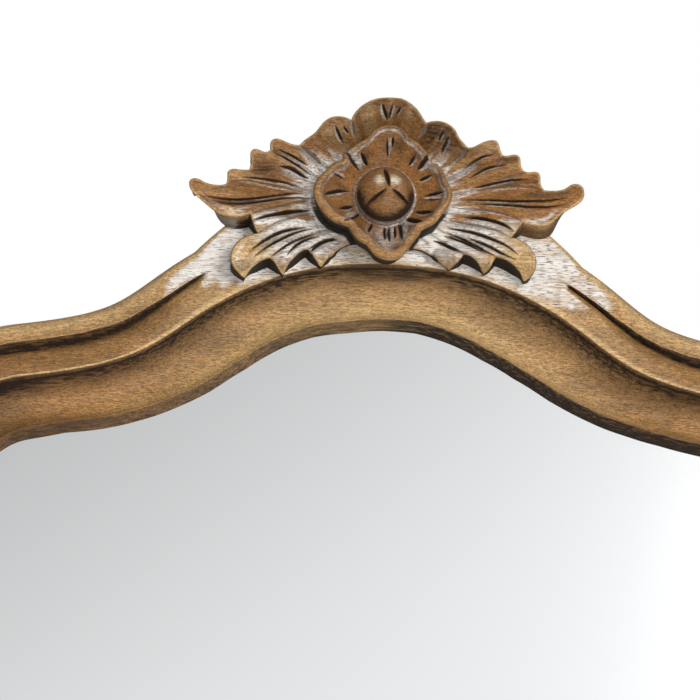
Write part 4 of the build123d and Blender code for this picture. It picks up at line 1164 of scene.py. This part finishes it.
class CarveSpray(bpy.types.Operator):
    """Carve the leaf spray that backs the flower"""

    bl_idname = "cheval.spray"
    bl_label = "Leaf Spray"

    def execute(self, context):
        crest, sizes = context.scene.mirror_crest, context.scene.mirror_sizes
        wide, high = crest.half_width, crest.height
        middle = np.array((0.0, crest.flower_rise))
        line = np.minimum(outline_of(SPRAY, wide, high, crest.grid), (1.0, high))
        flower = outline_of(FLOWER, wide, high, MILLIMETRE)
        flutes = cuts_of(FLUTES, wide, high)
        cuts = [(course, half, half * crest.cut_depth, 1.0, 1.0) for course, half in flutes]
        for course, half in cuts_of(CREASES, wide, high):
            # the creases between the upper leaves are paler
            half, shadowed = half * 1.3, 0.35 if course[:, 1].mean() > LOWER_LEAVES else 1.0
            cuts.append((course, half, half * crest.cut_depth * 1.3, shadowed, 1.0))
        turns, starts, ends = (np.array(v) for v in zip(*RISE))

        def tips_near(spots, across=0.0075):
            tips = np.array(TIPS) * MILLIMETRE
            near = [np.exp(-((spots - tip) ** 2).sum(axis=1) / across**2) for tip in tips]
            return np.max(near, axis=0)

        def top_leaves(x, z):
            return eased(z, 0.056, 0.066) * eased(0.052 - np.abs(x), 0.0, 0.01)

        def height(spots, gap):
            reach, turn = polar(spots, middle)
            turn = np.degrees(turn) % 360
            start, end = (np.interp(turn, turns, reaches) * MILLIMETRE for reaches in (starts, ends))
            risen = eased((reach - start) / (end - start), 0.0, 1.0)
            level = crest.seat + (crest.thickness - crest.seat) * risen
            wing_lift, wing_from, wing_run = 0.0034, 0.086, 0.024
            level = level + wing_lift * np.clip((reach - wing_from) / wing_run, 0.0, 1.0)
            level = level - crest.tip_dip * tips_near(spots, 0.0045)
            # the lowest leaves thin out towards their edges beside the flower
            thin = eased(0.036 - np.abs(spots[:, 0]), 0.0, 0.006) * eased(0.004 - spots[:, 1], 0.0, 0.004)
            level = level - thin * np.maximum(level - (0.0040 + 0.9 * gap), 0.0)
            swell = leaf_pillow(spots, middle, wide, high)
            top = top_leaves(*spots.T)
            level = level + (swell * 0.0017 - 0.0012) * eased(reach, 0.040, 0.058) * (1 - top)
            level = level + top * (0.0011 * hump(gap, 0.0018, 0.0012) + 0.0014 * swell - 0.0012)
            level = level + spread_waves(spots, 0.009, 2.2) * 0.0003
            return np.maximum(level - cut_into(spots, cuts)[0] - edge_round(gap, 0.0006), 0.0008)

        def mask_of(spots, gap):
            depth, dark = cut_into(spots, cuts)
            beyond = distance_to(spots, flower) * np.where(inside(spots, flower), -1.0, 1.0)
            x, z = spots[:, 0], spots[:, 1]
            far = np.abs(x)
            low = np.maximum(falling(z - 0.25 * far, 0.0, 0.004), falling(z, LOWER_LEAVES, 0.024))
            low = low * eased(0.100 - far, 0.0, 0.012)
            top, tips = top_leaves(x, z), tips_near(spots)
            patch, streak = patches(spots, 0.011, 7.7), streaks(spots, middle, 3.3)
            ragged = beyond + 0.020 * (streak - 0.5)
            cut = np.clip(depth / 0.0012, 0, 1) * (1 - dark)
            lower_lime, upper_lime = falling(ragged, 0.024, 0.046) * (1 - tips), falling(ragged, 0.003, 0.016)
            limed = np.where(low > 0.5, lower_lime, upper_lime) * (1 - top) * (0.62 + 0.38 * streak)
            limed = limed + top * (0.30 * falling(beyond, 0.0, 0.003) + 0.75 * cut)
            limed = np.maximum(limed, 0.6 * cut * (1 - top) * falling(beyond, 0.025, 0.055))
            # wax left on the right wing, in the valley under the left one and inside both lower rims
            right = eased(x, 0.024, 0.034) * falling(x, 0.078, 0.090) * eased(z, 0.014, 0.017)
            right = right * falling(z, 0.0225, 0.0255) * (0.55 + 0.45 * streak)
            left = eased(-x, 0.040, 0.052) * falling(-x, 0.076, 0.080)
            left = left * hump(z, 0.0195 + (x + 0.076) * 0.22, 0.0022)
            inner = hump(gap, 0.0034, 0.0012) * eased(far, 0.076, 0.084) * falling(z, 0.028, 0.033)
            limed = np.maximum(limed, deepest(0.95 * right, 0.9 * left, 0.7 * inner * patch) * (1 - dark))
            rim = falling(gap, 0.0004, 0.0018)
            worn = deepest(
                rim * (0.55 + 0.45 * patch),
                low * np.maximum(eased(beyond, 0.022, 0.044), tips) * (0.7 + 0.3 * patch),
                0.42 * leaf_pillow(spots, middle, wide, high) * (1 - top) * (1 - low) * streak,
                top * np.maximum(0.6 * rim, 0.45 * streak),
            )
            # painted shade: a dark patch on one upper left leaf, where it faces down and left
            painted_leaf_shade = hump(x, -0.070, 0.0085) * hump(z, 0.049, 0.0075)
            glazed = deepest(
                dark,
                top * (1 - rim) * (0.20 + 0.30 * patch + 0.25 * eased(x, 0.012, 0.022)),
                0.42 * falling(streak, 0.05, 0.20) * (1 - rim) * (1 - top),
                0.60 * painted_leaf_shade * (1 - 0.5 * rim),
            )
            # then the wood under the flower, painted shade along the lower leaves' edges and a painted shadow
            # round the flower
            glazed = deepest(
                np.where(inside(spots, flower) & (beyond < -0.002), 0.8, glazed),
                0.6 * falling(gap, 0.0001, 0.0005) * low,
                falling(beyond, 0.0, 0.0012) * (0.95 - 0.7 * eased(z, 0.022, 0.040)),
            )
            return {"limed": limed * (1 - rim * 0.8) * (1 - dark), "glazed": glazed, "worn": worn,
                    "carved": np.clip(1 - 0.75 * low + top, 0, 1)}

        def walls(ring, out, rim_height):
            # under the wings the wall turns out and pale; at their ends it tucks in; low down it flares into a
            # dark glazed foot that stands in for the shadow at the leaves' base; walls facing down carry
            # painted shade
            x, z = ring[:, 0], ring[:, 1]
            far, down = np.abs(x), eased(-out[:, 1], 0.1, 0.5)
            wing = eased(far, 0.066, 0.074) * eased(z, 0.015, 0.019) * falling(z, 0.040, 0.046) * down
            under = wing * falling(far, 0.080, 0.106)
            end = eased(far, 0.097, 0.103)
            tuck = np.maximum(wing * eased(far, 0.086, 0.108),
                              end * (0.3 + 0.5 * eased(out[:, 0] * np.sign(x), 0.1, 0.6)))
            painted_shadow_flare = 0.0018 * np.clip(rim_height / 0.006 - 0.7, 0.0, 1.0) * falling(z, 0.008, 0.016) * down
            painted_shadow_flare = painted_shadow_flare * (1 - tips_near(ring)) * eased(0.080 - far, 0.0, 0.006)
            painted_shadow_flare = painted_shadow_flare * (0.4 + 0.6 * eased(far, 0.026, 0.038))
            pale = wing * eased(-x, 0.083, 0.087) * falling(-x, 0.098, 0.103)
            pale = pale * (0.7 + 0.3 * patches(ring, 0.008, 3.1))
            # walls that face down take more glaze as painted shade
            painted_underside_shade = 0.35 + 0.65 * eased(-out[:, 1], -0.5, 0.1)
            dim = (1.0 - under) * painted_underside_shade + 0.35 * eased(-x, 0.0, 0.01) * under
            dim = dim * (1 - 0.75 * pale) * (1 - 0.7 * end)
            return rings(
                len(ring),
                (0.985, 0.0002, 0.0, 0.95 * dim, 0.5 * under),
                (0.93, 0.0001 + 0.0005 * under - 0.0006 * tuck, 0.2 * pale, dim, 0.5 * under),
                (0.55, -0.0003 + 0.0024 * under - 0.0032 * tuck, 0.7 * pale, dim + 0.40 * under, 0.1 * under),
                (0.25, -0.0006 + 0.6 * painted_shadow_flare + 0.0040 * under - 0.0050 * tuck, 0.7 * pale,
                 dim + 0.50 * under, 0.0),
                (0.0, -0.0008 + 1.5 * painted_shadow_flare + 0.0045 * under - 0.0060 * tuck, 0.5 * pale,
                 dim + 0.55 * under, 0.0),
            )

        carve("carved_leaf_spray", line, cuts, 1.1, height, mask_of, walls, crest.grid, crest_foot(sizes),
              ["crest_spray"], back=-0.0006)
        return {"FINISHED"}


class CarveFlower(bpy.types.Operator):
    """Carve the cupped flower with its four petals"""

    bl_idname = "cheval.flower"
    bl_label = "Flower"

    def execute(self, context):
        crest, sizes = context.scene.mirror_crest, context.scene.mirror_sizes
        line = outline_of(FLOWER, crest.half_width, crest.height, crest.grid)
        middle = np.array(crest.boss_middle)
        reaches, around = polar(line, middle)
        ranks = np.argsort(around)
        cuts = []
        for k, (course, half) in enumerate(cuts_of(PETAL_CUTS, crest.half_width, crest.height)):
            # the broad cuts between two petals run on over the rim
            if half > 0.0015:
                course = np.vstack([course[0] + (course[0] - course[-1]) * 0.35, course])
            half = half * 1.7
            cuts.append((course, half, half * 1.35, 1.0, 1.0 if k % 3 else -1.0))

        def lip_of(spots, turn):
            even = 0.0032 - 0.0013 * np.sin(turn) - 0.0003 * np.cos(turn)
            return even + 0.0006 * spread_waves(spots, 0.012, 8.4)

        def height(spots, gap):
            reach, turn = polar(spots, middle)
            rim = np.interp(turn, around[ranks], reaches[ranks], period=2 * math.pi)
            lip_wide = lip_of(spots, turn)
            t = np.clip((reach - crest.boss_radius) / (rim - lip_wide - crest.boss_radius), 0.0, 1.0)
            lip_step, lip_round = 0.0022, 0.0006
            bowl = crest.floor + (crest.rim - lip_step - crest.floor) * (0.55 * t + 0.45 * t**2.2)
            lip = crest.rim - lip_round + lip_round * np.sin(gap / lip_wide * math.pi)
            level = bowl + (lip - bowl) * falling(gap - lip_wide, -0.0003, 0.0006)
            level = level + spread_waves(spots, 0.012, 5.5) * 0.0011 * t
            return np.maximum(level - cut_into(spots, cuts)[0] - edge_round(gap, 0.0008), 0.006)

        def mask_of(spots, gap):
            depth, dark = cut_into(spots, cuts)
            reach, turn = polar(spots, middle)
            patch = patches(spots, 0.006, 6.1)
            beside = gap - lip_of(spots, turn)
            lip = falling(beside, -0.0006, 0.0003)
            foot = hump(reach, crest.boss_radius + 0.0003, 0.0006)
            limed = 0.85 * hump(beside, 0.0005, 0.0005) * (0.4 + 0.6 * patch) + 0.75 * foot
            limed = limed + 0.45 * np.clip(depth / 0.001, 0, 1) * (1 - dark)
            glazed = deepest(dark, 0.62 * (1 - lip) * falling(patch, 0.05, 0.62),
                             0.25 * falling(reach, 0.016, 0.024))
            # wax caught in the bowl under the boss
            x, z = (spots - middle).T
            foul = hump(x, 0.0, 0.0075) * eased(-z, 0.017, 0.019) * (1 - lip) * (1 - dark)
            return {"limed": np.maximum(limed, 0.45 * foul * (0.4 + 0.6 * patch)),
                    "glazed": glazed * (1 - 0.8 * foot), "worn": lip * (0.04 + 0.30 * patch),
                    "carved": 1 - 0.35 * lip}

        def walls(ring, out, rim_height):
            # painted shade: walls take more glaze where they face left and where they face down; the rim's
            # wall is golden where it faces down
            side = eased(-out[:, 0], 0.1, 0.7)
            painted_underside_shade = 0.35 + 0.65 * eased(-out[:, 1], -0.6, 0.0)
            return rings(
                len(ring),
                (0.98, 0.0003, 0.0, 0.5 * side, 0.5 * patches(ring, 0.008, 3.9)),
                (0.91, 0.0003, 0.0, 0.45 + 0.55 * side, 0.5 * eased(-out[:, 1], -0.2, 0.6)),
                (0.55, -0.0008, 0.0, painted_underside_shade, 0.0),
                (0.20, -0.0022, 0.1, 0.9 * painted_underside_shade, 0.0),
                (0.0, -0.0030, 0.1, 0.95 * painted_underside_shade, 0.0),
            )

        carve("carved_flower", line, cuts, 0.9, height, mask_of, walls, crest.grid, crest_foot(sizes),
              ["crest_flower"], back=0.0035)
        return {"FINISHED"}


class TurnBoss(bpy.types.Operator):
    """Turn the boss in the flower and cut its three notches"""

    bl_idname = "cheval.boss"
    bl_label = "Boss"

    def execute(self, context):
        crest, sizes = context.scene.mirror_crest, context.scene.mirror_sizes
        centre = Vector(crest_foot(sizes)) + Vector((crest.boss_middle[0], 0.0, crest.boss_middle[1]))
        radius, around, up, collar, notch_deep = crest.boss_radius, 144, 44, 0.002, 0.0026
        foot, dome = crest.floor + collar, crest.boss_height - collar
        rows = [(radius, crest.floor - 0.003), (radius, crest.floor + 0.0005)]
        for k in range(up):
            a = math.radians(90) * k / up
            rows.append((radius * math.cos(a), foot + dome * math.sin(a)))
        flat = np.array([(r * math.cos(t), r * math.sin(t)) for r, _ in rows
                         for t in np.linspace(0, 2 * math.pi, around, endpoint=False)] + [(0.0, 0.0)])
        level = np.array([h for _, h in rows for _ in range(around)] + [foot + dome])
        cuts = []
        for half, *ends in BOSS_CUTS:
            course = free_spline(np.array(ends) * MILLIMETRE, MILLIMETRE)
            cuts.append((course, half * MILLIMETRE, notch_deep, 1.0, 1.0))
        depth, dark = cut_into(flat, cuts)
        level = level - depth * (level > foot)
        reach = np.linalg.norm(flat, axis=1)
        points = [(centre.x + p[0], centre.y - h, centre.z + p[1]) for p, h in zip(flat, level)]
        faces = []
        for k in range(len(rows) - 1):
            for n in range(around):
                m = (n + 1) % around
                faces.append((k * around + n, k * around + m, (k + 1) * around + m, (k + 1) * around + n))
        last = (len(rows) - 1) * around
        faces += [(last + n, last + (n + 1) % around, len(points) - 1) for n in range(around)]
        faces.append(tuple(reversed(range(around))))
        patch = patches(flat, 0.008, 1.3)
        rim = eased(reach, radius * 0.93, radius)
        # painted highlight: two pale facets over the notches, put in as worn and limed wood
        x, z = flat.T
        painted_highlights = 1.6 * np.maximum(hump(x, -0.0036, 0.0026), hump(x, 0.0046, 0.0026)) * hump(z, 0.0062, 0.0026)
        painted_highlights = painted_highlights * (1 - dark)
        shadow = 0.9 * eased(reach, 0.0090, 0.0150) * eased(0.007 - z, 0.0, 0.009)
        shadow = np.maximum(shadow, 0.25 * patch)
        masks = {"limed": np.maximum(0.45 * rim, 0.75 * painted_highlights),
                 "glazed": np.maximum(dark, shadow * (1 - rim)),
                 "worn": np.maximum(0.3 * patch, painted_highlights), "carved": np.ones(len(flat))}
        build("carved_boss", points, faces, masks, "limed_rail", ["crest_boss"], TURNED)
        return {"FINISHED"}


class CarveRails(bpy.types.Operator):
    """Carve the mouldings of the top and bottom rails"""

    bl_idname = "cheval.rails"
    bl_label = "Rails"

    def execute(self, context):
        sizes = context.scene.mirror_sizes
        rail("carved_top_rail", sizes, 1, "limed_rail")
        rail("carved_bottom_rail", sizes, -1, "limed_rail")
        return {"FINISHED"}


class CarveStiles(bpy.types.Operator):
    """Carve the mouldings of the two stiles"""

    bl_idname = "cheval.stiles"
    bl_label = "Stiles"

    def execute(self, context):
        sizes = context.scene.mirror_sizes
        stile("carved_left_stile", sizes, -1)
        stile("carved_right_stile", sizes, 1)
        return {"FINISHED"}


class FitGlass(Dresser, bpy.types.Operator):
    """Silver the glass and finish the backing behind it"""

    bl_idname = "cheval.glass"
    bl_label = "Glass"
    looks = {"silvered_glass": ["mirror_glass"], "pressed_board": ["backing_board"],
             "bright_steel": ["glass_clips", "clip_screws"]}


class FinishPosts(Dresser, bpy.types.Operator):
    """Finish the two posts and their finials"""

    bl_idname = "cheval.posts"
    bl_label = "Posts"
    looks = {"mahogany_upright": both("post", "finial")}


class FinishFeet(Dresser, bpy.types.Operator):
    """Finish the four feet and their pads"""

    bl_idname = "cheval.feet"
    bl_label = "Feet"
    looks = {"mahogany_foot": ["front_left_foot", "front_right_foot", "back_left_foot", "back_right_foot"],
             "pressed_felt": ["foot_pads"]}


class FinishStretcher(Dresser, bpy.types.Operator):
    """Finish the stretcher and its bolts, nuts and caps"""

    bl_idname = "cheval.stretcher"
    bl_label = "Stretcher"
    looks = {"mahogany_level": ["stretcher", "bolt_caps"], "bright_steel": ["stretcher_bolts", "barrel_nuts"]}


class FinishClamps(Dresser, bpy.types.Operator):
    """Finish the knobs, studs, washers and bushes that the mirror swings in"""

    bl_idname = "cheval.clamps"
    bl_label = "Clamps"
    looks = {"mahogany_level": both("knob"), "bright_steel": both("stud"),
             "aged_brass": both("bush", "knob_washer", "insert"), "pressed_felt": both("felt_washer")}


class FinishDowels(Dresser, bpy.types.Operator):
    """Finish the dowels in the joints"""

    bl_idname = "cheval.dowels"
    bl_label = "Dowels"
    looks = {"beech": ["frame_dowels", "foot_dowels", "stretcher_dowels"]}


class SetStage(bpy.types.Operator):
    """Set the floor, the soft light, the pale surroundings and the camera"""

    bl_idname = "cheval.stage"
    bl_label = "Stage"

    def execute(self, context):
        scene, studio = context.scene, context.scene.mirror_studio
        mesh = bpy.data.meshes.new("studio_floor")
        reach, lamp_wide, lamp_high = 9, 1.0, 1.2
        corners = [(-reach, -reach, 0), (reach, -reach, 0), (reach, reach, 0), (-reach, reach, 0)]
        mesh.from_pydata(corners, [], [(0, 1, 2, 3)])
        coat = Finish("studio_paint")
        cloud = coat.cloud(1.5)
        tint = coat.mix(cloud, (0.80, 0.80, 0.80, 1.0), (0.84, 0.84, 0.835, 1.0))
        mesh.materials.append(coat.surface(Base_Color=tint, Roughness=0.85 + 0.1 * cloud))
        floor = bpy.data.objects.new("studio_floor", mesh)
        scene.collection.objects.link(floor)
        scene.world = bpy.data.worlds.new("studio_surround")
        air = Finish("", scene.world)
        way = air.node("ShaderNodeTexCoord", {}, {}, "Generated")
        across, above = (air.node("ShaderNodeSeparateXYZ", {}, {0: way}, axis) for axis in (0, 2))
        # the glass shows this way at its middle, seen as in the photo; lower down the surroundings are dimmer
        middle_across, middle_above = 0.074, 0.28
        shown = (studio.glow + studio.glow_across * (across - middle_across)
                 + studio.glow_above * (above - middle_above))
        shown = shown.within(0.5, 0.95) - 0.30 * (1.0 - above.ramp(0.10, 0.225))
        seen, glossy, through = (air.node("ShaderNodeLightPath", {}, {}, ray) for ray in
                                 ("Is Camera Ray", "Is Glossy Ray", "Is Transmission Ray"))
        strength = studio.fill + (1.0 - studio.fill) * seen.larger(through)
        strength = strength + glossy * (shown - strength)
        light = air.node("ShaderNodeBackground", {}, {"Color": (1.0, 1.0, 1.0, 1.0), "Strength": strength})
        air.node("ShaderNodeOutputWorld", {}, {"Surface": light})
        for name, power, place in (("soft_box", studio.key, studio.key_place),
                                   ("front_box", studio.front, studio.front_place)):
            lamp = bpy.data.lights.new(name, "AREA")
            lamp.shape, lamp.size, lamp.size_y, lamp.energy = "RECTANGLE", lamp_wide, lamp_high, power
            box = bpy.data.objects.new(name, lamp)
            box.location = place
            box.rotation_euler = (Vector(studio.aim) - box.location).to_track_quat("-Z", "Y").to_euler()
            # the low lamp in front would show in the glass
            box.visible_glossy = name == "soft_box"
            scene.collection.objects.link(box)
        turn, tilt = studio.turn, studio.tilt
        ahead = Vector((math.sin(turn) * math.cos(tilt), math.cos(turn) * math.cos(tilt), math.sin(tilt)))
        right = Vector((math.cos(turn), -math.sin(turn), 0.0))
        lens = bpy.data.cameras.new("portrait")
        lens.sensor_width, lens.lens, lens.clip_start, lens.clip_end = 36.0, studio.lens, 0.05, 60.0
        eye = bpy.data.objects.new("portrait", lens)
        frame_ways = Matrix((right, right.cross(ahead), -ahead)).transposed()
        eye.matrix_world = Matrix.Translation(Vector(studio.aim) - ahead * studio.distance) @ (
            frame_ways.to_4x4() @ Matrix.Rotation(studio.roll, 4, "Z"))
        scene.collection.objects.link(eye)
        scene.camera = eye
        scene.view_settings.view_transform = "Standard"
        return {"FINISHED"}


GROUPS = (MouldingSizes, CrestSizes, FinishColours, StudioSettings)
MAKERS = (CarveRails, CarveStiles, CarveSpray, CarveFlower, TurnBoss, FitGlass, FinishPosts, FinishFeet,
          FinishStretcher, FinishClamps, FinishDowels, SetStage)


class MirrorPanel(bpy.types.Panel):
    """Lists the makers of the mirror's pieces and the sizes and colours that they use"""

    bl_idname = "VIEW3D_PT_cheval_mirror"
    bl_label = "Cheval Mirror"
    bl_space_type = "VIEW_3D"
    bl_region_type = "UI"
    bl_category = "Mirror"

    def draw(self, context):
        scene = context.scene
        for maker in MAKERS:
            self.layout.operator(maker.bl_idname)
        for group in (scene.mirror_sizes, scene.mirror_crest, scene.mirror_colours, scene.mirror_studio):
            column = self.layout.column(align=True)
            for name in type(group).__annotations__:
                column.prop(group, name)


def register():
    for kind in (*GROUPS, *MAKERS, MirrorPanel):
        bpy.utils.register_class(kind)
    bpy.types.Scene.mirror_sizes = bpy.props.PointerProperty(type=MouldingSizes)
    bpy.types.Scene.mirror_crest = bpy.props.PointerProperty(type=CrestSizes)
    bpy.types.Scene.mirror_colours = bpy.props.PointerProperty(type=FinishColours)
    bpy.types.Scene.mirror_studio = bpy.props.PointerProperty(type=StudioSettings)


def unregister():
    for name in ("mirror_sizes", "mirror_crest", "mirror_colours", "mirror_studio"):
        delattr(bpy.types.Scene, name)
    for kind in reversed((*GROUPS, *MAKERS, MirrorPanel)):
        bpy.utils.unregister_class(kind)


def main():
    register()
    bpy.ops.cheval.rails()
    bpy.ops.cheval.stiles()
    bpy.ops.cheval.spray()
    bpy.ops.cheval.flower()
    bpy.ops.cheval.boss()
    bpy.ops.cheval.glass()
    bpy.ops.cheval.posts()
    bpy.ops.cheval.feet()
    bpy.ops.cheval.stretcher()
    bpy.ops.cheval.clamps()
    bpy.ops.cheval.dowels()
    bpy.ops.cheval.stage()
    bpy.context.view_layer.update()


if __name__ == "__main__":
    main()
